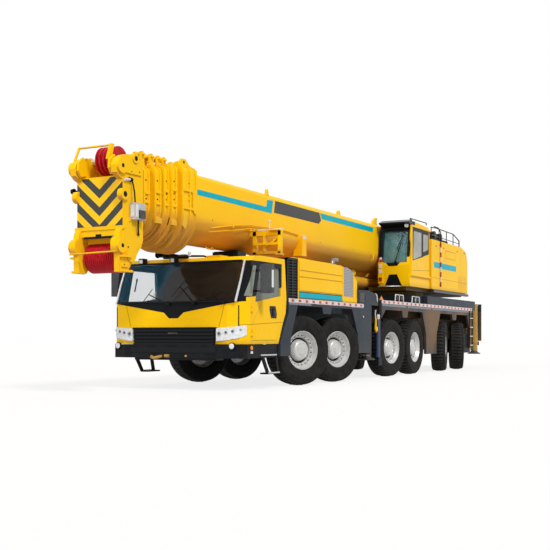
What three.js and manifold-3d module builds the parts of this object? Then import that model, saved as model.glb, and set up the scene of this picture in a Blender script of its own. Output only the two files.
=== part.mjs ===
// A six-axle all-terrain mobile crane: carrier with two outrigger boxes, superstructure with its own cab,
// and a six-section telescopic boom lying forward over the carrier cab.
// Millimetres, +X forward, +Y to the vehicle's left, +Z up. Stations along X are counted from a point behind the
// fourth axle, and the whole crane is then moved so that the origin is on the ground under the middle of the overall
// box. Each moving piece is drawn where it stands with every joint at zero.
import * as THREE from "three";
import { mergeVertices } from "three/addons/utils/BufferGeometryUtils.js";
import Module from "manifold-3d";

const wasm = await Module();
wasm.setup();

// ---- driving dimensions ----
const SEAT_GAP = 0.3; // between pieces that rest face to face
const RUN_GAP = 0.5; // between a slide, rod or bearing and its guide
const CLEAR = 5; // between pieces that only move past each other

const vehicle = { halfWidth: 1500, frontX: 6450, rearX: -9340 };
const tyre = { radius: 720, width: 420, centreY: 1290, tread: 165, bulge: 570, sides: 18 };
const rim = { radius: 385, sunk: 50, wellRadius: 345, discInner: -30, boreDepth: 50, capRadius: 185, capOut: 140, grooveRadius: 215, grooveOut: 40 };
const spindle = { radius: 85 };
const kingpin = { y: 1000, radius: 90, halfHeight: 164.5 };
// axle stations and the wheels' turned angles, in degrees to the left
const axles = [
  { x: 3650, steer: -23.5 },
  { x: 1970, steer: -19.2 },
  { x: -1200, steer: -7.6 },
  { x: -2850, steer: 0.8 },
  { x: -5450, steer: 14.5 },
  { x: -7100, steer: 19.5 },
];
const frame = { halfWidth: 540, bottom: 900, top: 1550, wall: 30, frontX: 4610 };
const nose = { frontX: 6100, rearX: 4300, halfWidth: 480, low: 660 };
const deck = { frontTop: 1750, rearTop: 1890, plate: 60, skirtWall: 60, frontEdge: 4620, rearEdge: -8130 };
const coaming = { frontX: -3980, rearX: -8690, innerY: 1290, outerY: 1440, top: 2120 };
const box = { halfWidth: 1150, tunnelWide: 210, tunnelLow: 800, tunnelHigh: 1230, wall: 45 };
const beam = { wide: 200, topGap: 8, inner: 1050 };
const tailPlate = { halfWidth: 1470, low: 860, high: 2050 };
const jack = { y: 1290, sleeve: 120, rod: 94, low: 560, pad: 205, padLow: 440, padHigh: 480 };
// x of the left-hand beam's middle, how far behind it the right-hand beam runs, and the top of the jack sleeves
const outriggers = [
  { name: "front", leftX: 90, behind: 240, sleeveTop: 1700 },
  { name: "rear", leftX: -9100, behind: -240, sleeveTop: 2050 },
];
const cab = { halfWidth: 1470, rearX: 5000, waistRearX: 4655, roofRearX: 4740, low: 860, roof: 2510, wall: 60, hingeX: 6040 };
const bumper = { low: 600, high: 850, front: 6450, wingRear: 5020 };
const mirror = { x: 5930, innerY: 1580, outerY: 1820, low: 1800, high: 2330, thick: 100 };
const hinge = { radius: 14, stand: 18, height: 60, low: 1040, high: 1480 };
const hood = { frontX: 4100, rearX: 1050, halfWidth: 1450, frontTop: 2590, rearTop: 2440, wall: 40 };
const tower = { frontX: 4600, rearX: 4130, halfWidth: 1430, top: 2560 };
const boomRest = { x: 4370, halfLength: 160, halfWidth: 260 };
const slew = { x: -4150, pedestalRadius: 1300, top: 2130, ringRadius: 1200, ringHigh: 2230 };
const platform = { frontX: -2620, rearX: -7650, halfWidth: 1300, top: 2330, slotHalf: 240, slotRearX: -4870 };
const foot = { x: -6400, z: 3380, plateIn: 605, plateOut: 665, pin: 110 };
const boom = {
  rearX: -6800,
  sections: 6,
  halfWidth: 540,
  top: 4000,
  bottom: 2750,
  wall: 20,
  step: 42,
  belly: 480,
  corner: 110,
  bellyStep: 31,
};
// the collar round the mouth of each section but the last: its ends, how far it stands proud, and how far it hangs
const collars = [
  { rearX: 6570, frontX: 7050, proud: 80, hang: 150 },
  { rearX: 7160, frontX: 7325, proud: 85, hang: 130 },
  { rearX: 7337, frontX: 7500, proud: 80, hang: 120 },
  { rearX: 7530, frontX: 7730, proud: 85, hang: 110 },
  { rearX: 7810, frontX: 7990, proud: 80, hang: 90 },
];
const padLength = 120;
const head = { rearX: 8045, boardX: 8610, halfWidth: 475, sideThick: 110, low: 2060, boardLow: 2820, boardHigh: 3660, earX: 8800 };
const lowerSheave = { x: 8380, z: 2325, radius: 258, halfWidth: 310 };
const upperSheave = { x: 8290, z: 3970, radius: 240, halfWidth: 165 };
const sideArm = { x: 4330, thick: 110, reachY: 1200, top: 3130, low: 2660, bar: 100 };
const sheaveShaft = 60;
const cylinder = { footX: -4600, footZ: 2455, eyeX: 750, eyeZ: 2490, barrel: 180, rod: 130, eye: 140, eyeHalf: 115, pin: 70, earIn: 190, earOut: 240 };
const opCab = { frontX: -2500, rearX: -4150, innerY: 580, outerY: 1440, low: 2330, roof: 4070, wall: 45 };
const opDoor = { frontX: -2570, rearX: -3480, low: 2650, high: 3900, thick: 44, rail: 40 };
const house = { frontX: -4210, rearX: -7700, innerY: 800, outerY: 1480, low: 2330, top: 3720, wall: 45 };
const drum = { x: -7250, z: 2820, radius: 300, halfWidth: 560, shaft: 70, cheek: 40 };
const sideBox = { frontX: 1045, rearX: 330, innerY: 900, outerY: 1480, top: 2070 };
const engine = { frontX: 3250, rearX: 1500, halfWidth: 430, top: 2380 };

// ---- solids ----
function toSolid(geometry) {
  const bare = geometry.clone();
  bare.deleteAttribute("normal");
  bare.deleteAttribute("uv");
  const merged = mergeVertices(bare, 1e-3);
  const solid = new wasm.Manifold(
    new wasm.Mesh({
      numProp: 3,
      vertProperties: new Float32Array(merged.attributes.position.array),
      triVerts: new Uint32Array(merged.index.array),
    }),
  );
  return solid;
}

function toGeometry(solid) {
  const mesh = solid.getMesh();
  const geometry = new THREE.BufferGeometry();
  geometry.setAttribute("position", new THREE.BufferAttribute(new Float32Array(mesh.vertProperties), 3));
  geometry.setIndex(new THREE.BufferAttribute(new Uint32Array(mesh.triVerts), 1));
  geometry.computeVertexNormals();
  return geometry;
}

const join = (...solids) => solids.reduce((all, next) => all.add(next));
const cut = (solid, ...tools) => tools.reduce((left, tool) => left.subtract(tool), solid);

function block(x0, x1, y0, y1, z0, z1) {
  const geometry = new THREE.BoxGeometry(Math.abs(x1 - x0), Math.abs(y1 - y0), Math.abs(z1 - z0));
  geometry.translate((x0 + x1) / 2, (y0 + y1) / 2, (z0 + z1) / 2);
  return toSolid(geometry);
}

function outline(points) {
  const shape = new THREE.Shape();
  points.forEach(([a, b], i) => (i ? shape.lineTo(a, b) : shape.moveTo(a, b)));
  shape.closePath();
  return shape;
}

const AXES = {
  x: [new THREE.Vector3(0, 1, 0), new THREE.Vector3(0, 0, 1), new THREE.Vector3(1, 0, 0)],
  y: [new THREE.Vector3(0, 0, 1), new THREE.Vector3(1, 0, 0), new THREE.Vector3(0, 1, 0)],
  z: [new THREE.Vector3(1, 0, 0), new THREE.Vector3(0, 1, 0), new THREE.Vector3(0, 0, 1)],
};

// A flat shape pushed along an axis from one place to another. Along x its points are (y, z), along y (z, x), along z (x, y).
function pushed(axis, shape, from, to, curveSegments = 6) {
  const geometry = new THREE.ExtrudeGeometry(shape, { depth: to - from, bevelEnabled: false, curveSegments });
  geometry.applyMatrix4(new THREE.Matrix4().makeBasis(...AXES[axis]));
  geometry.translate(...["x", "y", "z"].map((name) => (name === axis ? from : 0)));
  return toSolid(geometry);
}

// A side view given as (x, z) points, pushed from y0 to y1.
const sideView = (points, y0, y1) => pushed("y", outline(points.map(([x, z]) => [z, x])), y0, y1);
const plan = (points, z0, z1) => pushed("z", outline(points), z0, z1);

function disc(axis, x, y, z, radius, length, sides = 16) {
  const geometry = new THREE.CylinderGeometry(radius, radius, length, sides);
  if (axis === "x") geometry.rotateZ(Math.PI / 2);
  if (axis === "z") geometry.rotateX(Math.PI / 2);
  geometry.translate(x, y, z);
  return toSolid(geometry);
}

// A round bar between two points of one vertical plane y.
function rodBetween(x0, z0, x1, z1, y, radius, sides = 16) {
  const length = Math.hypot(x1 - x0, z1 - z0);
  const geometry = new THREE.CylinderGeometry(radius, radius, length, sides);
  geometry.rotateZ(-Math.PI / 2);
  geometry.rotateY(-Math.atan2(z1 - z0, x1 - x0));
  geometry.translate((x0 + x1) / 2, y, (z0 + z1) / 2);
  return toSolid(geometry);
}

// A round hole for a shaft that turns in it. Its flats face the shaft's corners, one running gap away.
const holeFor = (radius, sides = 16) => (radius + RUN_GAP) / Math.cos(Math.PI / sides);
function shaftHole(x, z, radius, length, sides = 16) {
  const geometry = new THREE.CylinderGeometry(holeFor(radius), holeFor(radius), length, sides, 1, false, Math.PI / sides);
  geometry.translate(x, 0, z);
  return toSolid(geometry);
}

const mirrored = (solid) => solid.mirror([0, 1, 0]);
const bothSides = (solid) => join(solid, mirrored(solid));

// ---- the group ----
const crane = new THREE.Group();
const paint = {
  yellow: { color: 0xf2b705, roughness: 0.35, metalness: 0.1 },
  grey: { color: 0x3a4149, roughness: 0.5, metalness: 0.2 },
  black: { color: 0x15171a, roughness: 0.6, metalness: 0.1 },
  rubber: { color: 0x17181a, roughness: 0.9, metalness: 0 },
  steel: { color: 0xb9bcc0, roughness: 0.35, metalness: 0.8 },
  red: { color: 0xb0142c, roughness: 0.45, metalness: 0 },
};

function place(name, solid, finish, parent = crane) {
  const mesh = new THREE.Mesh(toGeometry(solid), new THREE.MeshStandardMaterial(paint[finish]));
  mesh.name = name;
  parent.add(mesh);
  return mesh;
}

// ---- wheels, knuckles and axles ----
// A wheel about its own centre with its outer face towards +Y: tyre and rim in one turned solid, standing on a flat facet.
function wheelSolid() {
  const round = tyre.radius / Math.cos(Math.PI / tyre.sides);
  const half = tyre.width / 2;
  const bore = holeFor(spindle.radius, tyre.sides);
  const profile = [
    [0, rim.capOut],
    [rim.capRadius, rim.capOut],
    [rim.grooveRadius, rim.grooveOut],
    [rim.wellRadius, 60],
    [rim.radius, half - rim.sunk],
    [tyre.bulge, half],
    [round, tyre.tread],
    [round, -tyre.tread],
    [tyre.bulge, -half],
    [rim.radius, rim.sunk - half],
    [rim.wellRadius, rim.discInner],
    [bore, rim.discInner],
    [bore, rim.discInner + rim.boreDepth],
    [0, rim.discInner + rim.boreDepth],
  ].map(([r, y]) => new THREE.Vector2(r, y));
  const geometry = new THREE.LatheGeometry(profile.reverse(), tyre.sides);
  geometry.rotateY(Math.PI / tyre.sides);
  return toSolid(geometry);
}

// A steered knuckle about its kingpin, for the left side: barrel, then brake drum and spindle in one turned solid.
function knuckleSolid() {
  const out = tyre.centreY - kingpin.y;
  const reach = out + rim.discInner + rim.boreDepth - CLEAR;
  const spindleProfile = [
    [0, 0],
    [spindle.radius, 0],
    [spindle.radius, out - 135],
    [215, out - 135],
    [215, out - 55],
    [spindle.radius, out - 55],
    [spindle.radius, reach],
    [0, reach],
  ].map(([r, y]) => new THREE.Vector2(r, y));
  const turned = toSolid(new THREE.LatheGeometry(spindleProfile, 10));
  return disc("z", 0, 0, 0, kingpin.radius, 2 * kingpin.halfHeight, 10).add(turned);
}

axles.forEach(({ x, steer }, i) => {
  for (const [side, sign] of [["left", 1], ["right", -1]]) {
    const steered = new THREE.Group();
    steered.position.set(x, sign * kingpin.y, tyre.radius);
    steered.rotation.z = THREE.MathUtils.degToRad(steer);
    crane.add(steered);
    const turned = (solid) => (sign > 0 ? solid : mirrored(solid));
    place(`knuckle_${side}_${i + 1}`, turned(knuckleSolid()), "black", steered);
    const wheel = place(`wheel_${side}_${i + 1}`, turned(wheelSolid()), "rubber", steered);
    wheel.position.y = sign * (tyre.centreY - kingpin.y);
  }
});

// One pair of axles: beams, differentials and forks, the suspension rams beside the frame, and the links that join them.
function axlePair(xFront, xRear) {
  const z = tyre.radius;
  const ear = kingpin.halfHeight + RUN_GAP;
  const earThick = 50;
  const forkBack = kingpin.y - kingpin.radius - CLEAR;
  const parts = [];
  for (const x of [xFront, xRear]) {
    parts.push(block(x - 90, x + 90, -forkBack, forkBack, z - 100, z + 100));
    parts.push(disc("y", x, 0, z, 170, 380, 10));
    for (const sign of [1, -1]) {
      parts.push(block(x - 80, x + 80, sign * (forkBack - 45), sign * forkBack, z - ear - earThick, z + ear + earThick));
      for (const up of [1, -1]) {
        const middle = z + up * (ear + earThick / 2);
        const earTip = sign * (kingpin.y + 80);
        parts.push(block(x - 80, x + 80, sign * (forkBack - 45), earTip, middle - earThick / 2, middle + earThick / 2));
      }
      const seatY = frame.halfWidth + SEAT_GAP;
      parts.push(disc("z", x, sign * (seatY + 60), (z + 1380) / 2, 55, 1380 - z, 8));
      parts.push(block(x - 60, x + 60, sign * seatY, sign * (seatY + 70), 1300, 1380));
    }
  }
  for (const y of [-420, 420]) parts.push(block(xRear, xFront, y - 40, y + 40, z - 90, z - 10));
  return join(...parts);
}
[["front", 0], ["middle", 2], ["rear", 4]].forEach(([name, i]) =>
  place(`${name}_axle_pair`, axlePair(axles[i].x, axles[i + 1].x), "black"),
);

// ---- chassis frame with its outrigger boxes and slewing pedestal ----
const beamMiddle = (outrigger, sign) => (sign > 0 ? outrigger.leftX : outrigger.leftX - outrigger.behind);
const boxEnds = (outrigger) => {
  const middles = [beamMiddle(outrigger, 1), beamMiddle(outrigger, -1)];
  const reach = box.tunnelWide / 2 + box.wall;
  return [Math.min(...middles) - reach, Math.max(...middles) + reach];
};

function chassisFrame() {
  const wall = frame.wall;
  const rearX = boxEnds(outriggers[1])[0] + 1;
  const hollow = block(
    rearX - 1, frame.frontX - wall,
    -frame.halfWidth + wall, frame.halfWidth - wall, frame.bottom + wall, frame.top - wall,
  );
  const main = block(rearX, frame.frontX, -frame.halfWidth, frame.halfWidth, frame.bottom, frame.top);
  const tail = join(
    block(vehicle.rearX, vehicle.rearX + 60, -tailPlate.halfWidth, tailPlate.halfWidth, tailPlate.low, tailPlate.high),
    bothSides(block(vehicle.rearX + 59, rearX + 1, frame.halfWidth - 100, frame.halfWidth, frame.bottom, frame.top)),
  );
  let solid = join(cut(main, hollow), tail);
  for (const station of outriggers) {
    const [low, high] = boxEnds(station);
    solid = solid.add(
      block(low, high, -box.halfWidth, box.halfWidth, box.tunnelLow - box.wall, box.tunnelHigh + box.wall),
    );
  }
  const bed = disc("z", slew.x, 0, (frame.top + slew.top) / 2 - 20, slew.pedestalRadius, slew.top - frame.top + 40, 24);
  const well = disc("z", slew.x, 0, (frame.top + slew.top) / 2, slew.pedestalRadius - 200, slew.top - frame.top + 80, 24);
  solid = join(solid, bed.subtract(well));
  for (const station of outriggers)
    for (const sign of [1, -1]) {
      const x = beamMiddle(station, sign);
      const half = box.tunnelWide / 2;
      solid = cut(
        solid,
        block(x - half, x + half, -box.halfWidth - 1, box.halfWidth + 1, box.tunnelLow, box.tunnelHigh),
      );
    }
  return solid;
}
place("chassis_frame", chassisFrame(), "grey");

// The low nose under the cab, bolted up under the front of the frame.
place(
  "frame_nose",
  join(
    block(nose.rearX, nose.frontX, -nose.halfWidth, nose.halfWidth, nose.low, cab.low - SEAT_GAP),
    block(nose.rearX, frame.frontX - 10, -nose.halfWidth, nose.halfWidth, nose.low, frame.bottom - SEAT_GAP),
  ),
  "black",
);

// ---- outriggers: a beam with its jack sleeve slides out, the jack's rod and foot slide down ----
for (const station of outriggers)
  for (const [side, sign] of [["left", 1], ["right", -1]]) {
    const x = beamMiddle(station, sign);
    const high = box.tunnelHigh - beam.topGap;
    const top = station.sleeveTop;
    const sleeve = disc("z", x, sign * jack.y, (jack.low + top) / 2, jack.sleeve, top - jack.low, 12);
    const bore = disc("z", x, sign * jack.y, (jack.low + top) / 2 - 40, jack.rod + RUN_GAP, top - jack.low, 12);
    const arm = block(x - beam.wide / 2, x + beam.wide / 2, -sign * beam.inner, sign * jack.y,
      box.tunnelLow + SEAT_GAP, high);
    place(`outrigger_beam_${station.name}_${side}`, cut(join(arm, sleeve), bore), "grey");
    const rodTop = top - 120;
    const rod = disc("z", x, sign * jack.y, (jack.padLow + rodTop) / 2, jack.rod, rodTop - jack.padLow, 12);
    const pad = disc("z", x, sign * jack.y, (jack.padLow + jack.padHigh) / 2, jack.pad, jack.padHigh - jack.padLow, 16);
    place(`outrigger_jack_${station.name}_${side}`, join(rod, pad), "steel");
  }

// ---- deck: plates, side valances with skirts between the wheels, the intake tower and the boom rest ----
const frontArch = 850; // from an axle to a skirt, so that a turned wheel clears it
function deckSolid() {
  const [a1, a2, a3, a4, a5, a6] = axles.map((axle) => axle.x);
  const out = vehicle.halfWidth;
  const inn = out - deck.skirtWall;
  const frontX = deck.frontEdge;
  const skirtFront = cab.rearX - 30;
  const gapFront = boxEnds(outriggers[0])[1] + 60;
  const gapRear = beamMiddle(outriggers[0], -1) - jack.pad - 2 * CLEAR;
  const rearEdge = deck.rearEdge;
  const bottomF = deck.frontTop - 130;
  const bottomR = deck.rearTop - 230;
  const frontSide = [
    [gapFront, 620],
    [a2 - frontArch - 10, 620],
    [a2 - frontArch, 1050],
    [a2 - 520, bottomF],
    [a2 + 600, bottomF],
    [a2 + 650, 1480],
    [a1 - 650, 1480],
    [a1 - 600, bottomF],
    [a1 + 560, bottomF],
    [a1 + frontArch + 20, 980],
    [a1 + frontArch + 40, 620],
    [skirtFront - 10, 620],
    [skirtFront, cab.low],
    [cab.rearX - 180, 1160],
    [frontX, 1450],
    [frontX, deck.frontTop],
    [gapFront, deck.frontTop],
  ];
  const rearSide = [
    [gapRear, deck.rearTop],
    [rearEdge, deck.rearTop],
    [rearEdge, 640],
    [a6 - frontArch - 10, 640],
    [a6 - frontArch, 1050],
    [a6 - 520, bottomR],
    [a6 + 600, bottomR],
    [a6 + 660, 1490],
    [a5 - 660, 1490],
    [a5 - 600, bottomR],
    [a5 + 520, bottomR],
    [a5 + frontArch, 1050],
    [a5 + frontArch + 10, 520],
    [a4 - frontArch - 10, 520],
    [a4 - frontArch, 1050],
    [a4 - 520, bottomR],
    [a4 + 600, bottomR],
    [a4 + 660, 1490],
    [a3 - 660, 1490],
    [a3 - 600, bottomR],
    [a3 + 560, bottomR],
    [gapRear, 1450],
  ].reverse();
  const front = join(
    bothSides(sideView(frontSide, inn, out)),
    block(gapFront, frontX, -out + 1, out - 1, deck.frontTop - deck.plate, deck.frontTop),
  );
  const rear = join(
    bothSides(sideView(rearSide, inn, out)),
    block(rearEdge, gapRear, -out + 1, out - 1, deck.rearTop - deck.plate, deck.rearTop),
    block(boxEnds(outriggers[1])[0], rearEdge + 1, -box.halfWidth, box.halfWidth, deck.rearTop - deck.plate, deck.rearTop),
    bothSides(block(coaming.rearX, coaming.frontX, coaming.innerY, coaming.outerY, deck.rearTop - 1, coaming.top)),
    bothSides(block(coaming.rearX, rearEdge + 1, box.halfWidth - 1, coaming.outerY, deck.rearTop - deck.plate, deck.rearTop)),
  );
  const spine = join(
    block(gapFront, frontX, -400, 400, frame.top + SEAT_GAP, deck.frontTop - 1),
    block(rearEdge, gapFront + 1, -400, 400, frame.top + SEAT_GAP, deck.rearTop),
  );
  const ringHole = disc("z", slew.x, 0, 1800, slew.pedestalRadius + CLEAR, 900, 24);
  const engineHole = block(
    engine.rearX - CLEAR, engine.frontX + CLEAR, -engine.halfWidth - CLEAR, engine.halfWidth + CLEAR, 1500, 1900,
  );
  const boxes = bothSides(
    block(sideBox.rearX, sideBox.frontX, sideBox.innerY, sideBox.outerY, deck.frontTop - 1, sideBox.top),
  );
  const sideWells = [1, -1].map((sign) =>
    block(a6 - 700, a3 + 700, sign * (frame.halfWidth + 60), sign * (inn - 1), 1000, deck.rearTop - deck.plate),
  );
  return cut(join(front, rear, spine, boxes), ringHole, engineHole, ...sideWells);
}
place("deck", deckSolid(), "grey");

// The intake tower stands on the deck behind the cab and carries the boom's resting block.
place(
  "intake_tower",
  join(
    block(tower.rearX, tower.frontX, -tower.halfWidth, tower.halfWidth, deck.frontTop + SEAT_GAP, tower.top),
    block(
      boomRest.x - boomRest.halfLength, boomRest.x + boomRest.halfLength,
      -boomRest.halfWidth, boomRest.halfWidth, tower.top - 1, boom.bottom - CLEAR,
    ),
  ),
  "black",
);

// ---- engine and its hood ----
place(
  "engine",
  block(engine.rearX, engine.frontX, -engine.halfWidth, engine.halfWidth, frame.top + SEAT_GAP, engine.top),
  "black",
);
function hoodSolid() {
  const low = deck.frontTop + SEAT_GAP;
  const side = [
    [hood.rearX, low],
    [hood.frontX, low],
    [hood.frontX, hood.frontTop],
    [hood.rearX + 900, hood.frontTop - 20],
    [hood.rearX + 250, hood.rearTop],
    [hood.rearX, hood.rearTop - 180],
  ];
  const inside = side.map(([x, z]) => [
    x === hood.frontX ? x - hood.wall : Math.max(x, hood.rearX + hood.wall),
    z === low ? low - 1 : z - hood.wall,
  ]);
  const shell = sideView(side, -hood.halfWidth, hood.halfWidth);
  return shell.subtract(sideView(inside, -hood.halfWidth + hood.wall, hood.halfWidth - hood.wall));
}
place("engine_hood", hoodSolid(), "yellow");

// ---- carrier cab ----
const cabFrontAtSill = vehicle.frontX - 30;
const windscreenLow = 1640;
const cabSide = [
  [cab.rearX, cab.low],
  [cabFrontAtSill - 20, cab.low],
  [cabFrontAtSill, 1350],
  [cabFrontAtSill - 20, windscreenLow],
  [6060, 2400],
  [5960, cab.roof - 20],
  [5700, cab.roof],
  [cab.roofRearX, cab.roof],
  [cab.roofRearX - 20, 2400],
  [cab.waistRearX, 1740],
  [cab.waistRearX + 35, 1470],
  [cab.rearX - 150, 1180],
];
const cabPlan = [
  [4500, -cab.halfWidth],
  [6120, -cab.halfWidth],
  [6330, -cab.halfWidth + 90],
  [cabFrontAtSill - 20, -1150],
  [cabFrontAtSill + 1, -600],
  [cabFrontAtSill + 1, 600],
  [cabFrontAtSill - 20, 1150],
  [6330, cab.halfWidth - 90],
  [6120, cab.halfWidth],
  [4500, cab.halfWidth],
];
function cabShell() {
  const outer = sideView(cabSide, -cab.halfWidth, cab.halfWidth).intersect(plan(cabPlan, 0, 3000));
  const wall = cab.wall;
  const innerSide = [
    [cab.rearX + wall, cab.low + wall],
    [cabFrontAtSill - 20 - wall, cab.low + wall],
    [cabFrontAtSill - wall, 1350],
    [cabFrontAtSill - 25 - wall, windscreenLow - 10],
    [6045 - wall, 2370],
    [5940 - wall, cab.roof - 20 - wall],
    [5700, cab.roof - wall],
    [cab.roofRearX + wall, cab.roof - wall],
    [cab.roofRearX - 20 + wall, 2390],
    [cab.waistRearX + wall, 1745],
    [cab.waistRearX + 35 + wall, 1485],
    [cab.rearX - 145 + wall, 1200],
  ];
  const innerPlan = cabPlan.map(([x, y]) => [x > 6000 ? x - wall : x, y - Math.sign(y) * wall]);
  const inner = sideView(innerSide, -cab.halfWidth, cab.halfWidth).intersect(plan(innerPlan, 0, 3000));
  const screen = plan([[5900, -1290], [7000, -1290], [7000, 1290], [5900, 1290]], windscreenLow + 30, 2385);
  const rearWindow = block(cab.waistRearX - 100, cab.rearX, -900, 900, 1800, 2350);
  return cut(outer, inner, screen, rearWindow);
}
// the door's edge in side view, grown outwards by a margin
function doorEdge(margin) {
  return [
    [cab.rearX + 90 - margin, cab.low + 70 - margin],
    [cab.hingeX - CLEAR + margin, cab.low + 70 - margin],
    [cab.hingeX - CLEAR + margin, 1640],
    [5830 + margin, 2400 + margin],
    [cab.waistRearX + 190 - margin, 2400 + margin],
    [cab.waistRearX + 130 - margin, 1740],
    [cab.waistRearX + 160 - margin, 1480],
    [cab.rearX - 50 - margin, 1180],
  ];
}
const doorWindow = [
  [4900, 1780],
  [5920, 1640],
  [5735, 2310],
  [4930, 2310],
];
const shell = cabShell();
const doorways = [1, -1].map((sign) => {
  const from = Math.min(sign * (cab.halfWidth - cab.wall - 30), sign * (cab.halfWidth + 10));
  const to = Math.max(sign * (cab.halfWidth - cab.wall - 30), sign * (cab.halfWidth + 10));
  return { sign, slab: (margin) => sideView(doorEdge(margin), from, to) };
});
// Each hinge is a post on the cab with the door's knuckle standing on it. The axis is outside the panels, so that the
// door swings clear of its frame.
const hingeY = cab.halfWidth + hinge.stand;
const hingeZ = [hinge.low, hinge.high];
function hingeHalf(sign, z, reach) {
  const y0 = sign * (hingeY - 12);
  const y1 = sign * (hingeY + 12);
  const x = cab.hingeX;
  return join(
    disc("z", x, sign * hingeY, z, hinge.radius, hinge.height, 10),
    block(x, x + reach, y0, y1, z - hinge.height / 2 + 5, z + hinge.height / 2 - 5),
    block(x + 0.5 * reach, x + reach, sign * (cab.halfWidth - 10), y1, z - hinge.height / 2 + 5, z + hinge.height / 2 - 5),
  );
}
function mirrorOnDoor(sign) {
  const y = (v) => sign * v;
  return join(
    block(mirror.x - mirror.thick, mirror.x, y(mirror.innerY), y(mirror.outerY), mirror.low, mirror.high),
    block(mirror.x - 80, mirror.x - 40, y(cab.halfWidth - 10), y(mirror.innerY + 10), mirror.low + 20, mirror.low + 60),
    block(mirror.x - 90, mirror.x - 60, y(cab.halfWidth - 10), y(mirror.innerY + 10), 2200, 2240),
  );
}
const posts = [1, -1].flatMap((sign) => hingeZ.map((z) => hingeHalf(sign, z, 60)));
place("carrier_cab", join(cut(shell, ...doorways.map((door) => door.slab(CLEAR))), ...posts), "yellow");
for (const { sign, slab } of doorways) {
  const pane = sideView(doorWindow, -2000, 2000);
  const knuckles = hingeZ.map((z) => hingeHalf(sign, z + hinge.height + RUN_GAP, -60));
  const solid = join(shell.intersect(slab(0)).subtract(pane), mirrorOnDoor(sign), ...knuckles);
  place(sign > 0 ? "carrier_door_left" : "carrier_door_right", solid, "yellow");
}

// ---- front bumper with its side wings ----
const bumperOuter = [
  [bumper.wingRear, -1460],
  [6200, -1460],
  [6380, -1380],
  [bumper.front, -1100],
  [bumper.front, 1100],
  [6380, 1380],
  [6200, 1460],
  [bumper.wingRear, 1460],
];
const bumperInner = [
  [bumper.wingRear - 1, -1400],
  [6160, -1400],
  [6160, 1400],
  [bumper.wingRear - 1, 1400],
];
const bumperMounts = bothSides(block(nose.frontX + SEAT_GAP, 6170, 300, nose.halfWidth, 700, 840));
place(
  "front_bumper",
  join(cut(plan(bumperOuter, bumper.low, bumper.high), plan(bumperInner, 0, 2000)), bumperMounts),
  "black",
);

// ---- superstructure platform ----
function platformSolid() {
  const ring = disc("z", slew.x, 0, (slew.top + RUN_GAP + slew.ringHigh) / 2, slew.ringRadius,
    slew.ringHigh - slew.top - RUN_GAP, 24);
  const plate = block(platform.rearX, platform.frontX, -platform.halfWidth, platform.halfWidth,
    slew.ringHigh - 1, platform.top);
  const slot = block(platform.slotRearX, platform.frontX + 100, -platform.slotHalf, platform.slotHalf,
    slew.ringHigh, platform.top + 200);
  const cheek = [
    [foot.x - 500, platform.top - 1],
    [opCab.rearX - 50, platform.top - 1],
    [opCab.rearX - 60, platform.top + 220],
    [foot.x + 330, foot.z + 160],
    [foot.x + 160, foot.z + 260],
    [foot.x - 160, foot.z + 260],
    [foot.x - 320, foot.z + 120],
  ];
  const cheeks = bothSides(sideView(cheek, foot.plateIn, foot.plateOut));
  const pinHole = shaftHole(foot.x, foot.z, foot.pin, 2 * foot.plateOut + 20);
  const lugs = bothSides(
    sideView(
      [
        [cylinder.footX - 220, slew.ringHigh - 1],
        [cylinder.footX + 110, slew.ringHigh - 1],
        [cylinder.footX + 100, cylinder.footZ + 100],
        [cylinder.footX - 100, cylinder.footZ + 100],
      ],
      cylinder.eyeHalf + CLEAR,
      cylinder.eyeHalf + CLEAR + 60,
    ),
  );
  const lugHole = shaftHole(cylinder.footX, cylinder.footZ, cylinder.pin, 500);
  return cut(join(ring, cut(plate, slot), cheeks, lugs), pinHole, lugHole);
}
place("slewing_platform", platformSolid(), "yellow");

// ---- machinery house: a cover each side of the boom foot, joined by a low rear beam that carries the winch ----
function houseSolid() {
  const side = [
    [house.rearX, house.low + SEAT_GAP],
    [house.frontX, house.low + SEAT_GAP],
    [house.frontX, house.top],
    [house.rearX + 700, house.top],
    [house.rearX + 150, house.top - 120],
    [house.rearX, house.top - 420],
  ];
  const wall = house.wall;
  const hollow = [
    [house.rearX + wall, house.low - 1],
    [house.frontX - wall, house.low - 1],
    [house.frontX - wall, house.top - wall],
    [house.rearX + 720, house.top - wall],
    [house.rearX + 180, house.top - 120 - wall],
    [house.rearX + wall, house.top - 430 - wall],
  ];
  const cover = sideView(side, house.innerY, house.outerY);
  const room = sideView(hollow, house.innerY + wall, house.outerY - wall);
  const covers = bothSides(cover.subtract(room));
  const rearBeam = block(house.rearX, house.rearX + 60, -house.innerY - 10, house.innerY + 10, house.low + SEAT_GAP, 2700);
  const bearings = bothSides(
    sideView(
      [
        [drum.x - 160, platform.top + SEAT_GAP],
        [drum.x + 160, platform.top + SEAT_GAP],
        [drum.x + 110, drum.z + 110],
        [drum.x - 110, drum.z + 110],
      ],
      drum.halfWidth + drum.cheek + CLEAR,
      house.innerY + 10,
    ),
  );
  const drumHole = shaftHole(drum.x, drum.z, drum.shaft, 2 * house.innerY - 60);
  return cut(join(covers, rearBeam, bearings), drumHole);
}
place("machinery_house", houseSolid(), "yellow");

place(
  "hoist_drum",
  join(
    disc("y", drum.x, 0, drum.z, drum.radius - 60, 2 * drum.halfWidth, 16),
    disc("y", drum.x, drum.halfWidth + drum.cheek / 2, drum.z, drum.radius, drum.cheek, 16),
    disc("y", drum.x, -drum.halfWidth - drum.cheek / 2, drum.z, drum.radius, drum.cheek, 16),
    disc("y", drum.x, 0, drum.z, drum.shaft, 2 * (house.innerY - 40), 16),
  ),
  "steel",
);

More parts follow.
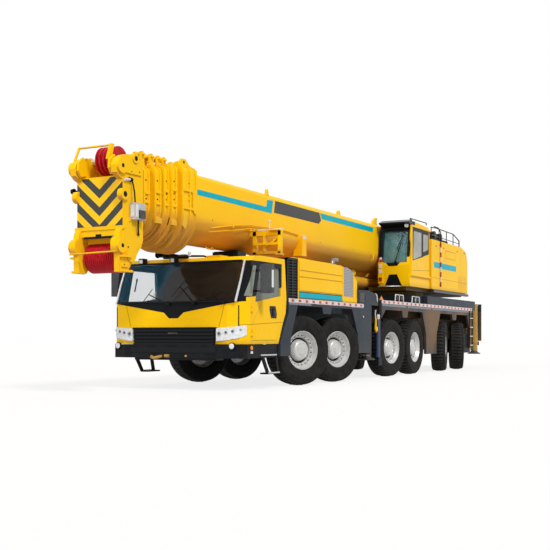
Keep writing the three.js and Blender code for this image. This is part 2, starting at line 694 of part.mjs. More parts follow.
// ---- operator cab and its sliding door ----
const opSide = [
  [opCab.rearX, opCab.low + SEAT_GAP],
  [opCab.frontX - 40, opCab.low + SEAT_GAP],
  [opCab.frontX, 2900],
  [opCab.frontX - 90, 3800],
  [opCab.frontX - 200, opCab.roof - 30],
  [opCab.frontX - 350, opCab.roof],
  [opCab.rearX + 100, opCab.roof - 60],
  [opCab.rearX, opCab.roof - 180],
];
function opCabSolid() {
  const wall = opCab.wall;
  const inside = [
    [opCab.rearX + wall, opCab.low + wall],
    [opCab.frontX - 40 - wall, opCab.low + wall],
    [opCab.frontX - wall, 2900],
    [opCab.frontX - 90 - wall, 3790],
    [opCab.frontX - 205 - wall, opCab.roof - 30 - wall],
    [opCab.frontX - 350, opCab.roof - wall],
    [opCab.rearX + 120, opCab.roof - 60 - wall],
    [opCab.rearX + wall, opCab.roof - 190 - wall],
  ];
  const outer = sideView(opSide, opCab.innerY, opCab.outerY);
  const room = sideView(inside, opCab.innerY + wall, opCab.outerY - wall);
  const screen = block(opCab.frontX - 400, opCab.frontX + 200, opCab.innerY + 70, opCab.outerY - 70, 2960, 3790);
  const doorway = block(opDoor.rearX + 80, opDoor.frontX - 80, opCab.outerY - 100, opCab.outerY + 100, 2690, 3840);
  const rearPane = block(-4040, opDoor.rearX - 60, opCab.outerY - 100, opCab.outerY + 100, 3150, 3800);
  const roofPane = block(-3700, -2950, opCab.innerY + 120, opCab.outerY - 120, opCab.roof - 150, opCab.roof + 50);
  const railLow = opDoor.low - RUN_GAP - opDoor.rail;
  const rails = join(
    block(opCab.rearX + 10, opDoor.frontX, opCab.outerY - 1, opCab.outerY + CLEAR + opDoor.thick, railLow,
      railLow + opDoor.rail),
    block(opCab.rearX + 10, opDoor.frontX, opCab.outerY - 1, opCab.outerY + CLEAR + opDoor.thick,
      opDoor.high + CLEAR, opDoor.high + CLEAR + opDoor.rail),
  );
  return join(cut(outer, room, screen, doorway, rearPane, roofPane), rails);
}
place("operator_cab", opCabSolid(), "yellow");
function opDoorSolid() {
  const slab = block(opDoor.rearX, opDoor.frontX, opCab.outerY + CLEAR, opCab.outerY + CLEAR + opDoor.thick,
    opDoor.low, opDoor.high);
  const pane = sideView(
    [
      [opDoor.rearX + 90, 3180],
      [opDoor.frontX - 100, 3020],
      [opDoor.frontX - 140, 3810],
      [opDoor.rearX + 90, 3810],
    ],
    opCab.outerY,
    opCab.outerY + 200,
  );
  return slab.subtract(pane);
}
place("operator_door", opDoorSolid(), "yellow");

// ---- boom ----
// The outline of section number n, 0 for the base, moved outwards by a margin: flat top, round corners, round belly.
function arc(y, z, ry, rz, from, to, steps) {
  return Array.from({ length: steps + 1 }, (_, i) => {
    const angle = THREE.MathUtils.degToRad(from + ((to - from) * i) / steps);
    return [y + ry * Math.cos(angle), z + rz * Math.sin(angle)];
  });
}
function boomShape(n, margin, hang = 0) {
  const shrink = n * boom.step - margin;
  const half = boom.halfWidth - shrink;
  const top = boom.top - shrink;
  const bottom = boom.bottom + shrink - hang;
  const corner = boom.corner;
  const belly = boom.belly + margin - n * boom.bellyStep + hang;
  return outline([
    ...arc(half - corner, top - corner, corner, corner, 0, 90, 2),
    ...arc(corner - half, top - corner, corner, corner, 90, 180, 2),
    ...arc(0, bottom + belly, half, belly, 180, 360, 8),
  ]);
}
const boomBar = (n, margin, from, to, hang = 0) => pushed("x", boomShape(n, margin, hang), from, to);

// A hollow section: its tube, its collar, and inside the collar the pads that the next section slides in.
function boomSection(n, rearX) {
  const frontX = n === boom.sections - 1 ? head.rearX : collars[n].frontX;
  let solid = boomBar(n, 0, rearX, frontX);
  if (n < boom.sections - 1) {
    const { rearX: collarRear, proud, hang } = collars[n];
    solid = solid.add(boomBar(n, proud, collarRear, frontX, hang));
    const padRear = frontX - padLength;
    solid = cut(
      solid,
      boomBar(n, -boom.wall, rearX - 1, padRear),
      boomBar(n + 1, RUN_GAP, padRear - 1, frontX + 1),
    );
  } else solid = solid.subtract(boomBar(n, -boom.wall, rearX - 1, frontX - 60));
  return solid;
}

function boomBase() {
  const pin = disc("y", foot.x, 0, foot.z, foot.pin, 2 * foot.plateOut, 16);
  const ears = bothSides(
    sideView(
      [
        [cylinder.eyeX - 260, boom.bottom + 120],
        [cylinder.eyeX - 120, cylinder.eyeZ - 100],
        [cylinder.eyeX + 120, cylinder.eyeZ - 100],
        [cylinder.eyeX + 260, boom.bottom + 120],
      ],
      cylinder.earIn,
      cylinder.earOut,
    ),
  );
  // the arm on the left side of the boom: a cross bar, an outer post, a foot bar and a brace
  const a = sideArm;
  const armX = [a.x - a.thick / 2, a.x + a.thick / 2];
  const rootY = boom.halfWidth - 120;
  const brace = pushed(
    "x",
    outline([[a.reachY - 60, a.top - a.bar], [a.reachY, a.top - a.bar], [700, a.low], [620, a.low]]),
    armX[0] + 20, armX[1] - 20,
  );
  const arm = join(
    block(...armX, rootY, a.reachY, a.top - a.bar, a.top),
    block(...armX, a.reachY - 70, a.reachY, a.low, a.top),
    block(...armX, 560, a.reachY, a.low, a.low + 50),
    block(...armX, 560, 640, a.low, a.top),
    brace,
  );
  const keep = cut(join(ears, arm), boomBar(0, -boom.wall / 2, boom.rearX, 7000));
  const footPin = pin.subtract(boomBar(0, -boom.wall, -7000, 0));
  return join(boomSection(0, boom.rearX), keep, footPin);
}
place("boom_base", boomBase(), "yellow");

for (let n = 1; n < boom.sections - 1; n++)
  place(`boom_section_${n + 1}`, boomSection(n, boom.rearX + 500 + 150 * n), "yellow");

// The innermost section ends in the head: side plates that carry the two sheave packs, and the striped front board.
function boomHead() {
  const last = boom.sections - 1;
  const section = boomSection(last, boom.rearX + 500 + 150 * last);
  const plateOutline = [
    [head.rearX, 3900],
    [head.rearX, 2900],
    [8125, 2430],
    [8400, head.low],
    [8700, head.low],
    [8710, 2370],
    [head.earX, 2390],
    [head.earX, 2600],
    [8710, 2630],
    [head.boardX + 90, 2720],
    [head.boardX, head.boardLow],
    [head.boardX, 3590],
    [8770, 3620],
    [8780, 3900],
    [8620, 3960],
    [8440, 4140],
    [8200, 4160],
    [8090, 4080],
  ];
  const plates = bothSides(sideView(plateOutline, head.halfWidth - head.sideThick, head.halfWidth));
  const board = block(head.boardX - 40, head.boardX, -head.halfWidth, head.halfWidth, head.boardLow, head.boardHigh);
  const rearWall = block(head.rearX - 1, head.rearX + 40, -head.halfWidth, head.halfWidth, 2900, 3790);
  const roof = block(head.rearX, head.boardX - 20, -head.halfWidth, head.halfWidth, 3620, 3660);
  const holes = [lowerSheave, upperSheave].map((pack) =>
    shaftHole(pack.x, pack.z, sheaveShaft, 2 * head.halfWidth + 10),
  );
  return cut(join(section, plates, board, rearWall, roof), ...holes);
}
place("boom_section_6", boomHead(), "yellow");

for (const [name, pack] of [["lower_sheaves", lowerSheave], ["upper_sheaves", upperSheave]])
  place(
    name,
    join(
      disc("y", pack.x, 0, pack.z, pack.radius, 2 * pack.halfWidth, 16),
      disc("y", pack.x, 0, pack.z, sheaveShaft, 2 * head.halfWidth, 16),
    ),
    "red",
  );

// ---- luffing cylinder ----
const reachX = cylinder.eyeX - cylinder.footX;
const reachZ = cylinder.eyeZ - cylinder.footZ;
const pinToPin = Math.hypot(reachX, reachZ);
const along = (distance) => [
  cylinder.footX + (reachX * distance) / pinToPin,
  cylinder.footZ + (reachZ * distance) / pinToPin,
];
const barrelEnd = pinToPin - 330;
place(
  "luffing_cylinder",
  join(
    cut(
      rodBetween(...along(170), ...along(barrelEnd), 0, cylinder.barrel, 16),
      rodBetween(...along(230), ...along(barrelEnd + 10), 0, cylinder.rod + RUN_GAP, 12),
    ),
    rodBetween(...along(50), ...along(200), 0, cylinder.eyeHalf - CLEAR, 12),
    disc("y", cylinder.footX, 0, cylinder.footZ, cylinder.eye, 2 * cylinder.eyeHalf, 16),
    disc("y", cylinder.footX, 0, cylinder.footZ, cylinder.pin, 2 * cylinder.eyeHalf + 130, 16),
  ),
  "yellow",
);
place(
  "luffing_rod",
  join(
    rodBetween(...along(300), ...along(pinToPin), 0, cylinder.rod, 12),
    disc("y", cylinder.eyeX, 0, cylinder.eyeZ, cylinder.eye, 2 * (cylinder.earIn - CLEAR), 16),
  ),
  "steel",
);

crane.position.x = -(head.earX + vehicle.rearX) / 2;

export default crane;
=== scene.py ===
"""Looks for a six-axle mobile crane: finishes on its solid parts, and the finer pieces that ride on them.

Lengths are metres. Stations along the crane are counted from a point behind its fourth axle, and STATION_ZERO
is where that point is in the crane's own frame. +X is forward, +Y the crane's left, +Z up.
"""

import math
from contextlib import contextmanager

import bmesh
import bpy
from mathutils import Matrix, Vector


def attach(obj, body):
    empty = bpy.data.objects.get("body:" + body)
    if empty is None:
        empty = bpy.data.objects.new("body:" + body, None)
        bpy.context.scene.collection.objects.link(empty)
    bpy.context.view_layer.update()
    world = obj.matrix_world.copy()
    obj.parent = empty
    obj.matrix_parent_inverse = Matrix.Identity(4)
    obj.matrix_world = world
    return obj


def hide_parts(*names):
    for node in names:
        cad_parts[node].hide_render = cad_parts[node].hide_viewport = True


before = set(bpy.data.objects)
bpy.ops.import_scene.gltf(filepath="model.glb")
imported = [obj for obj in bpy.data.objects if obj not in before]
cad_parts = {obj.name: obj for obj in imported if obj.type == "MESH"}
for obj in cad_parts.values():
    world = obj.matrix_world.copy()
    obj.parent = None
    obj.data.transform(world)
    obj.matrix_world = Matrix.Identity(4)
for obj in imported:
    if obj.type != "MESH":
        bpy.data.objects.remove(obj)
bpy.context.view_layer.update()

STATION_ZERO = 0.27


# ---- shader arithmetic ----
class Term:
    """A shader socket that takes part in Python arithmetic."""

    def __init__(self, finish, socket):
        self.finish, self.socket = finish, socket

    def _math(self, operation, *values):
        return self.finish.node("ShaderNodeMath", {"operation": operation}, dict(enumerate(values)))

    def __add__(self, other):
        return self._math("ADD", self, other)

    __radd__ = __add__

    def __sub__(self, other):
        return self._math("SUBTRACT", self, other)

    def __rsub__(self, other):
        return self._math("SUBTRACT", other, self)

    def __mul__(self, other):
        return self._math("MULTIPLY", self, other)

    __rmul__ = __mul__

    def __truediv__(self, other):
        return self._math("DIVIDE", self, other)

    def __abs__(self):
        return self._math("ABSOLUTE", self)

    def __gt__(self, other):
        return self._math("GREATER_THAN", self, other)

    def __lt__(self, other):
        return self._math("LESS_THAN", self, other)

    def __mod__(self, other):
        return self._math("FLOORED_MODULO", self, other)

    def most(self, other):
        return self._math("MAXIMUM", self, other)

    def least(self, other):
        return self._math("MINIMUM", self, other)

    def near(self, other, reach):
        return self._math("COMPARE", self, other, reach)

    def within(self, low, high):
        return (self > low) * (self < high)

    def ramp(self, low, high):
        """0 below low, 1 above high, even in between; low may be the larger."""
        return self.finish.node(
            "ShaderNodeMapRange", {"clamp": True}, {"Value": self, "From Min": low, "From Max": high}
        )


class Finish:
    """A surface: a shader, its place on the object and the helpers that build its pattern."""

    def __init__(self, name, colour, roughness, metallic=0.0, coat=0.0, alpha=1.0, specular=0.5):
        self.material = bpy.data.materials.new(name)
        self.material.use_nodes = True
        self.material.diffuse_color = (*colour, 1.0)
        self.tree = self.material.node_tree
        self.shader = next(n for n in self.tree.nodes if n.type == "BSDF_PRINCIPLED")
        self.feed("Base Color", (*colour, 1.0))
        self.feed("Roughness", roughness)
        self.feed("Metallic", metallic)
        self.feed("Coat Weight", coat)
        self.feed("Alpha", alpha)
        self.feed("Specular IOR Level", specular)
        place = self.tree.nodes.new("ShaderNodeTexCoord")
        self.place = Term(self, place.outputs["Object"])
        self.x, self.y, self.z = self.split(self.place)
        self.x = self.x - STATION_ZERO
        self.across, self.facing_y, self.up = self.split(Term(self, place.outputs["Normal"]))

    def feed(self, name, value):
        socket = self.shader.inputs[name]
        if isinstance(value, Term):
            self.tree.links.new(value.socket, socket)
        else:
            socket.default_value = value

    def node(self, kind, settings, values):
        """Adds a node from its settings and its sockets' values or links, and gives its first output."""
        made = self.tree.nodes.new(kind)
        for key, setting in settings.items():
            setattr(made, key, setting)
        for key, value in values.items():
            socket = made.inputs[key]
            if isinstance(value, Term):
                self.tree.links.new(value.socket, socket)
            else:
                socket.default_value = value
        return Term(self, made.outputs[0])

    def split(self, vector):
        made = self.tree.nodes.new("ShaderNodeSeparateXYZ")
        self.tree.links.new(vector.socket, made.inputs[0])
        return [Term(self, socket) for socket in made.outputs]

    def noise(self, scale, detail=3.0, stretch=(1, 1, 1)):
        vector = self.node("ShaderNodeVectorMath", {"operation": "MULTIPLY"}, {0: self.place, 1: stretch})
        return self.node("ShaderNodeTexNoise", {}, {"Vector": vector, "Scale": scale, "Detail": detail})

    def mix(self, share, first, second):
        """A colour between two colours or colour sockets."""
        made = self.tree.nodes.new("ShaderNodeMix")
        made.data_type = "RGBA"
        sockets = {s.identifier: s for s in made.inputs}
        for key, value in (("Factor_Float", share), ("A_Color", first), ("B_Color", second)):
            if isinstance(value, Term):
                self.tree.links.new(value.socket, sockets[key])
            else:
                sockets[key].default_value = value if key == "Factor_Float" else (*value, 1.0)
        out = next(s for s in made.outputs if s.identifier == "Result_Color")
        return Term(self, out)

    def bump(self, height, strength=0.2, distance=0.002):
        normal = self.node("ShaderNodeBump", {}, {"Height": height, "Strength": strength,
            "Distance": distance})
        self.feed("Normal", normal)


# ---- finishes ----
YELLOW = (0.98, 0.580, 0.003)
WARM_YELLOW = (0.86, 0.43, 0.004)
# painted reflection of the brown ground and painted shade, for surfaces that face down
BELLY_REFLECTION_BROWN = (0.62, 0.285, 0.055)
CARRIER_BLUE = (0.026, 0.034, 0.046)
ROAD_DUST = (0.21, 0.115, 0.042)
SOOT = (0.007, 0.008, 0.010)
TURQUOISE = (0.0, 0.44, 0.56)
CABIN_TEAL = (0.055, 0.240, 0.350)


GLOSS_WANDER, ORANGE_PEEL = 0.175, 0.12


def paint_over(finish, colour, roughness):
    """Feeds a painted finish: a gloss that wanders a little, and the fine ripple of sprayed paint."""
    patchy = finish.noise(3.0, 4.0)
    finish.feed("Base Color", colour)
    finish.feed("Roughness", roughness + (patchy - 0.5) * GLOSS_WANDER)
    finish.bump(finish.noise(55.0, 2.0), ORANGE_PEEL, 0.001)


def yellow_tone(finish, low=0.0, belly_reflection_share=0.8, round_below=0.0):
    """Golden yellow that shifts softly over the surface and turns brown where it faces the ground: a painted
    reflection of the ground and painted shade.
    """
    tone = finish.mix(finish.noise(0.8, 2.0).ramp(0.35, 0.75) * 0.30, YELLOW, WARM_YELLOW)
    tone = finish.mix(finish.noise(9.0, 5.0).ramp(0.55, 0.8) * 0.10, tone, WARM_YELLOW)
    if belly_reflection_share:
        # painted reflection and shade: brown where the surface faces down, and on rounded lower parts below
        # round_below
        down = finish.up.ramp(-0.10, -0.62)
        if round_below:
            rounded = finish.up.ramp(0.05, -0.30) * finish.z.ramp(round_below, round_below - 0.35)
            down = down.most(rounded * 0.8)
        down = down * (0.75 + finish.noise(1.3, 3.0) * 0.4)
        tone = finish.mix(down * belly_reflection_share, tone, BELLY_REFLECTION_BROWN)
    if low:
        tone = finish.mix(finish.z.ramp(low + 0.12, low) * 0.35, tone, ROAD_DUST)
    return tone


def yellow_finish(name, roughness):
    return Finish(name, YELLOW, roughness, coat=0.03, specular=0.07)


def yellow_paint():
    f = yellow_finish("golden_yellow_paint", 0.34)
    paint_over(f, yellow_tone(f), 0.34)
    return f


def boom_paint():
    """The same yellow, browner round the belly of the sections and their collars: painted reflection and
    painted shade, also low under the boom.
    """
    f = yellow_finish("boom_yellow_paint", 0.34)
    # painted shade and reflection: brown on the lower halves of the collars, and on everything low under the
    # boom behind them, the luffing barrel too
    rims = f.x.within(6.5, 8.04) * (f.up < 0.2) * f.z.ramp(3.25, 2.85) * 0.75
    under = (f.x < 6.5) * f.z.ramp(2.85, 2.70) * 0.5
    tone = yellow_tone(f, belly_reflection_share=0.92, round_below=3.45)
    paint_over(f, f.mix(rims.most(under), tone, BELLY_REFLECTION_BROWN), 0.34)
    return f


def cab_paint():
    """Yellow outside, black round the screen, grille and side windows, and a dark lining inside."""
    f = yellow_finish("carrier_cab_paint", 0.30)
    wide = abs(f.y)
    band = (wide * 0.16 + 1.413).least((wide * 0.9 + 1.25).most(1.34))
    front = (f.x > 6.2) * (f.z > band)
    grille = (f.x > 6.2) * f.z.within(0.84, 1.165) * (wide < (f.z - 0.84) * 0.15 + 0.90)
    sill = (f.x * -0.41 + 3.951).most(f.x * -0.0757 + 2.189)
    side = (wide > 1.22) * f.z.within(sill, 2.40) * (f.x > 4.86)
    lining = (wide < 1.44) * (f.z < 2.475) * (f.x < 6.375) * (1.0 - (f.across > 0.2) * (f.x > 5.9))
    black = (front.most(grille).most(side) * (f.z < 2.40)).least(1.0)
    # painted shade: thin darker lines along the creases of the front corners, along the sides and across the
    # doors
    crease_shade = (f.x > 6.2) * wide.near(f.z * 0.27 + 0.666, 0.007) * (f.z > 1.165) * (f.z < 1.6)
    crease_shade = crease_shade.most((wide > 1.3) * f.z.near(f.x * -0.045 + 1.495, 0.006) * (f.x < 6.34))
    crease_shade = crease_shade.most((wide > 1.462) * f.x.near(f.z * -0.9 + 7.14, 0.004) * (f.z < 1.66) * (f.z > 1.25))
    tone = yellow_tone(f, low=0.86, belly_reflection_share=0.6)
    tone = f.mix(crease_shade * 0.75, tone, (0.20, 0.10, 0.01))
    tone = f.mix(black, tone, SOOT)
    tone = f.mix(lining, tone, CABIN_TEAL)
    tone = f.mix((wide > 1.496) * (f.z > 1.6), tone, (0.075, 0.08, 0.09))
    tone = f.mix((wide > 1.815) * f.x.within(5.85, 5.93) * f.z.within(1.90, 2.22), tone, (0.75, 0.75, 0.76))
    paint_over(f, tone, 0.30)
    return f


def operator_cab_paint():
    f = yellow_finish("operator_cab_paint", 0.30)
    aside = abs(f.y - 0.98)
    chin = ((aside - 0.12).most(0.0) * 1.15 + 2.87).least(3.10)
    front = (f.x > -2.66) * (f.z > chin) * (f.y < 1.43)
    foot = (f.x > -2.66) * (f.z < 2.65 - (aside - 0.11).most(0.0) * 2.3) * (f.y < 1.43)
    sill = (f.x * -0.181 + 2.572).most(f.x * -0.196 + 2.517)
    side = (f.y > 1.36) * f.z.within(sill - 0.04, 3.90) * f.x.within(-4.10, -2.62)
    visor = (f.z > 3.97) * (f.x > -2.95)
    lining = f.y.within(0.603, 1.417) * f.z.within(2.352, 4.045) * (f.x > -4.128)
    lining = lining * (1.0 - (f.across > 0.2) * (f.x > -2.85))
    seam = (f.y > 1.43) * f.z.near(f.x * -0.05 + 2.62, 0.006) * (f.x < -2.6)
    tone = yellow_tone(f, low=2.33, belly_reflection_share=0.6)
    tone = f.mix(seam * 0.8, tone, (0.20, 0.10, 0.01))
    tone = f.mix(front.most(foot).most(side).most(visor), tone, SOOT)
    tone = f.mix(lining, tone, (0.02, 0.085, 0.10))
    paint_over(f, tone, 0.30)
    return f


def house_paint():
    f = yellow_finish("machinery_house_paint", 0.34)
    shell = abs(f.y) > 1.47
    panel = shell * f.x.within(-6.45, -5.45) * f.z.within(3.27, 3.50)
    inner = shell * f.x.within(-6.43, -5.47) * f.z.within(3.29, 3.48)
    seam = (panel - inner).most(shell * f.z.near(f.x * 0.006 + 2.68,
        0.007)).most(shell * f.x.near(-7.0, 0.006))
    tone = yellow_tone(f, low=2.33)
    tone = f.mix(seam * 0.6, tone, (0.25, 0.13, 0.01))
    paint_over(f, tone, 0.36)
    return f


def carrier_paint():
    """Dark blue-grey, with dry road dust that grows towards the rear skirts."""
    f = Finish("carrier_grey_paint", CARRIER_BLUE, 0.45, specular=0.12)
    patches = f.noise(1.6, 5.0, (1.0, 1.0, 0.5))
    rearwards = f.x.ramp(0.2, -1.8)
    dusty = patches.ramp(0.30, 0.62) * rearwards * f.z.within(0.4, 1.80)
    tone = f.mix(f.noise(4.0, 3.0) * 0.3, CARRIER_BLUE, (0.055, 0.068, 0.085))
    tone = f.mix(dusty * 0.72, tone, ROAD_DUST)
    tone = f.mix(f.z.ramp(0.9, 0.5) * 0.3, tone, (0.09, 0.075, 0.06))
    plates = (f.up > 0.7) * ((f.x * 22.0) % 1.0).near(0.5, 0.22) * ((f.y * 22.0) % 1.0).near(0.5, 0.22)
    tone = f.mix(plates * 0.35, tone, (0.12, 0.13, 0.14))
    tail, wide = f.x < -9.33, abs(f.y)
    tone = f.mix(tail * (f.z > 1.52), tone, SOOT)
    tone = f.mix(tail * f.z.within(1.90, 1.96) * wide.within(0.20, 0.70), tone, (0.42, 0.03, 0.02))
    tone = f.mix(tail * f.z.within(1.12, 1.26) * (wide < 0.27), tone, (0.70, 0.70, 0.68))
    paint_over(f, tone, 0.46)
    return f


def black_paint():
    f = Finish("black_paint", SOOT, 0.45, specular=0.09)
    tone = f.mix(f.noise(5.0, 4.0).ramp(0.45, 0.8) * 0.5, SOOT, (0.030, 0.028, 0.025))
    paint_over(f, tone, 0.45)
    return f


def gloss_black():
    f = Finish("gloss_black_trim", (0.008, 0.009, 0.010), 0.25, specular=0.12)
    paint_over(f, f.mix(f.noise(8.0) * 0.3, (0.008, 0.009, 0.011), (0.02, 0.022, 0.025)), 0.2)
    return f


def rubber():
    """Tyre rubber: dusty on the lug edges, ribbed rings round the wall come from the mesh."""
    f = Finish("tyre_rubber", (0.026, 0.026, 0.024), 0.8, specular=0.1)
    dust = f.noise(7.0, 6.0).ramp(0.35, 0.75)
    tone = f.mix(dust * 0.55, (0.012, 0.012, 0.012), (0.042, 0.040, 0.035))
    f.feed("Base Color", tone)
    f.feed("Roughness", 0.70 + dust * 0.2)
    f.bump(f.noise(60.0, 4.0), 0.3, 0.002)
    return f


def lug_rubber():
    f = Finish("lug_rubber", (0.05, 0.05, 0.046), 0.75, specular=0.1)
    wear = f.noise(30.0, 3.0).ramp(0.3, 0.7)
    f.feed("Base Color", f.mix(wear, (0.016, 0.016, 0.015), (0.060, 0.057, 0.052)))
    f.feed("Roughness", 0.65 + wear * 0.2)
    f.bump(f.noise(90.0, 2.0), 0.2, 0.001)
    return f


def wheel_silver():
    f = Finish("wheel_silver_paint", (0.56, 0.56, 0.55), 0.38, metallic=0.25)
    grime = f.noise(11.0, 5.0).ramp(0.5, 0.8)
    f.feed("Base Color", f.mix(grime * 0.4, (0.60, 0.60, 0.59), (0.27, 0.25, 0.23)))
    f.feed("Roughness", 0.34 + grime * 0.25)
    f.bump(f.noise(80.0), 0.1, 0.001)
    return f


def bare_steel():
    f = Finish("bright_steel", (0.60, 0.61, 0.62), 0.28, metallic=0.9)
    drawn = f.noise(6.0, 3.0, (1.0, 14.0, 14.0))
    f.feed("Base Color", f.mix(drawn, (0.50, 0.51, 0.52), (0.68, 0.68, 0.69)))
    f.feed("Roughness", 0.20 + drawn * 0.2)
    return f


def cast_iron():
    f = Finish("cast_iron", (0.06, 0.055, 0.05), 0.7, metallic=0.2)
    rough = f.noise(18.0, 5.0)
    f.feed("Base Color", f.mix(rough, (0.035, 0.034, 0.033), (0.10, 0.085, 0.070)))
    f.feed("Roughness", 0.55 + rough * 0.3)
    f.bump(rough, 0.4, 0.003)
    return f


def crimson():
    f = Finish("crimson_sheave", (0.50, 0.008, 0.016), 0.42, coat=0.03, specular=0.2)
    streak = f.noise(16.0, 3.0, (1.0, 6.0, 1.0))
    f.feed("Base Color", f.mix(streak.ramp(0.3, 0.7), (0.33, 0.004, 0.010), (0.60, 0.012, 0.024)))
    f.feed("Roughness", 0.36 + streak * 0.2)
    f.bump(streak, 0.15, 0.002)
    return f


def plain(name, colour, second, roughness, metallic=0.0, coat=0.0, scale=12.0, specular=0.2):
    """A small fitting's finish: two close tones in a fine grain."""
    f = Finish(name, colour, roughness, metallic, coat, specular=specular)
    grain = f.noise(scale, 4.0)
    f.feed("Base Color", f.mix(grain.ramp(0.3, 0.7), colour, second))
    f.feed("Roughness", roughness + (grain - 0.5) * 0.15)
    f.bump(f.noise(scale * 5.0), 0.08, 0.001)
    return f


def glass(name, colour, second, alpha, roughness=0.05):
    f = Finish(name, colour, roughness, alpha=alpha)
    # two tones in soft patches: a faint haze, and on the operator's screen painted reflections
    haze_and_reflection = f.noise(1.7, 2.0)
    f.feed("Base Color", f.mix(haze_and_reflection.ramp(0.35, 0.65), colour, second))
    f.feed("Roughness", roughness + haze_and_reflection * 0.04)
    return f


def windscreen():
    """Blue-green glass on the crane's right; from a ragged line near the middle it turns dark and less clear.
    The two halves are painted: a lighter reflection on the right, and the shade of the cab's inside on the
    left.
    """
    f = Finish("windscreen_glass", (0.008, 0.050, 0.075), 0.05, alpha=0.4)
    inside_shade = (f.y + (f.noise(2.2, 4.0) - 0.5) * 0.9 - (f.z - 2.0) * 0.3).ramp(-0.45, -0.10)
    f.feed("Base Color", f.mix(inside_shade, (0.020, 0.130, 0.220), (0.016, 0.013, 0.010)))
    f.feed("Alpha", 0.11 + inside_shade * 0.57)
    f.feed("Roughness", 0.05 + f.noise(1.7, 2.0) * 0.04)
    return f


def platform_paint_and_shade():
    """Yellow above, and dark under the cab and the house: painted shade below z 2.35."""
    f = yellow_finish("platform_paint_and_shade", 0.4)
    # painted shade: dark on the platform below z 2.35
    low = f.z.ramp(2.37, 2.33)
    tone = f.mix(low * 0.93, yellow_tone(f), (0.040, 0.022, 0.010))
    paint_over(f, tone, 0.42)
    return f


def striped_board():
    """Black chevrons on yellow, their points down the middle of the board."""
    f = Finish("striped_board", YELLOW, 0.4, coat=0.05, specular=0.25)
    band = ((f.z - abs(f.y) * 0.86 - 3.0) / 0.295) % 1.0
    dark = (band < 0.51) * f.z.within(2.83, 3.64) * (f.x > 8.6) * (f.z - abs(f.y) * 0.86 < 3.56)
    tone = f.mix(f.noise(1.5) * 0.2, YELLOW, WARM_YELLOW)
    paint_over(f, f.mix(dark, tone, (0.045, 0.048, 0.045)), 0.42)
    return f


def perforated():
    """Pale grey sheet with close round holes."""
    f = Finish("perforated_sheet", (0.36, 0.36, 0.38), 0.5, metallic=0.3)
    along, high = (f.x * 30.0) % 1.0 - 0.5, (f.z * 30.0) % 1.0 - 0.5
    hole = (along * along + high * high) < 0.075
    tone = f.mix(f.noise(20.0), (0.30, 0.30, 0.32), (0.46, 0.46, 0.48))
    f.feed("Base Color", f.mix(hole, tone, (0.06, 0.06, 0.065)))
    f.bump(1.0 - hole, 0.5, 0.003)
    return f


yellow = yellow_paint()
boom_yellow = boom_paint()
cab_yellow = cab_paint()
op_yellow = operator_cab_paint()
house_yellow = house_paint()
board_paint = striped_board()
platform_finish_and_shade = platform_paint_and_shade()
grey = carrier_paint()
black = black_paint()
trim = gloss_black()
tyre_black = rubber()
lug_black = lug_rubber()
silver = wheel_silver()
steel = bare_steel()
scorched = plain("scorched_steel", (0.16, 0.145, 0.13), (0.34, 0.31, 0.28), 0.32, metallic=0.7, scale=18.0)
iron = cast_iron()
red = crimson()
mesh_sheet = perforated()
turquoise = plain("turquoise_stripe", TURQUOISE, (0.0, 0.38, 0.50), 0.35, coat=0.02, specular=0.08)
white = plain("white_paint", (0.74, 0.73, 0.72), (0.62, 0.60, 0.58), 0.45)
pale = plain("pale_reflective_band", (0.78, 0.66, 0.64), (0.66, 0.52, 0.50), 0.4)
dark_red = plain("red_reflector", (0.42, 0.03, 0.02), (0.30, 0.015, 0.015), 0.3, coat=0.4)
amber = plain("amber_lens", (0.85, 0.30, 0.02), (0.70, 0.20, 0.01), 0.2, coat=0.6)
lamp_white = plain("clear_lamp_lens", (0.82, 0.84, 0.85), (0.60, 0.63, 0.66), 0.12, coat=0.8, scale=25.0)
charcoal = plain("charcoal_plate", (0.045, 0.050, 0.050), (0.065, 0.070, 0.070), 0.45)
housing_grey = plain("mirror_housing", (0.060, 0.064, 0.070), (0.085, 0.088, 0.094), 0.35)
edge_grey = plain("deck_edge_grey", (0.20, 0.23, 0.27), (0.14, 0.16, 0.20), 0.4, coat=0.1)
seat_cloth = plain("seat_cloth", (0.022, 0.085, 0.120), (0.030, 0.105, 0.145), 0.85, scale=60.0)
column_blue = plain("column_blue", (0.035, 0.055, 0.12), (0.05, 0.07, 0.14), 0.35, coat=0.3)
# golden brown: on the rear jack sleeves a painted reflection on dark steel; also used on the tow hook and the
# columns by the front jacks
gold_and_reflection = plain("gold_paint_and_reflection", (0.52, 0.30, 0.05), (0.33, 0.19, 0.05), 0.4, coat=0.2, scale=5.0)
sensor_grey = plain("sensor_grey", (0.42, 0.43, 0.45), (0.56, 0.57, 0.58), 0.4)
machine_grey = plain("machine_grey", (0.10, 0.10, 0.10), (0.055, 0.055, 0.055), 0.5, metallic=0.3)
screen_glass = windscreen()
side_glass = glass("door_glass", (0.19, 0.215, 0.18), (0.25, 0.28, 0.235), 0.60)
clear_glass = glass("clear_glass", (0.50, 0.56, 0.56), (0.60, 0.66, 0.66), 0.09)
rear_glass = glass("cab_rear_glass", (0.018, 0.105, 0.165), (0.030, 0.145, 0.215), 0.92)
# painted reflection: the quarter panes are opaque pale grey-green, standing for glass that reflects its
# surroundings
quarter_glass_painted_reflection = glass("quarter_glass_painted_reflection", (0.17, 0.195, 0.155), (0.23, 0.26, 0.21), 1.0, 0.12)
# painted reflections: light cyan patches on the operator's screen
teal_glass = glass("operator_screen_glass", (0.045, 0.180, 0.225), (0.190, 0.380, 0.390), 0.56)
# painted reflection: the operator's side and door windows are a pale, mostly opaque grey, standing for glass
# that reflects the bright surroundings
pale_glass = glass("operator_side_glass", (0.36, 0.37, 0.32), (0.50, 0.51, 0.46), 0.72)


# ---- meshes ----
MITRE_LIMIT = 1.3


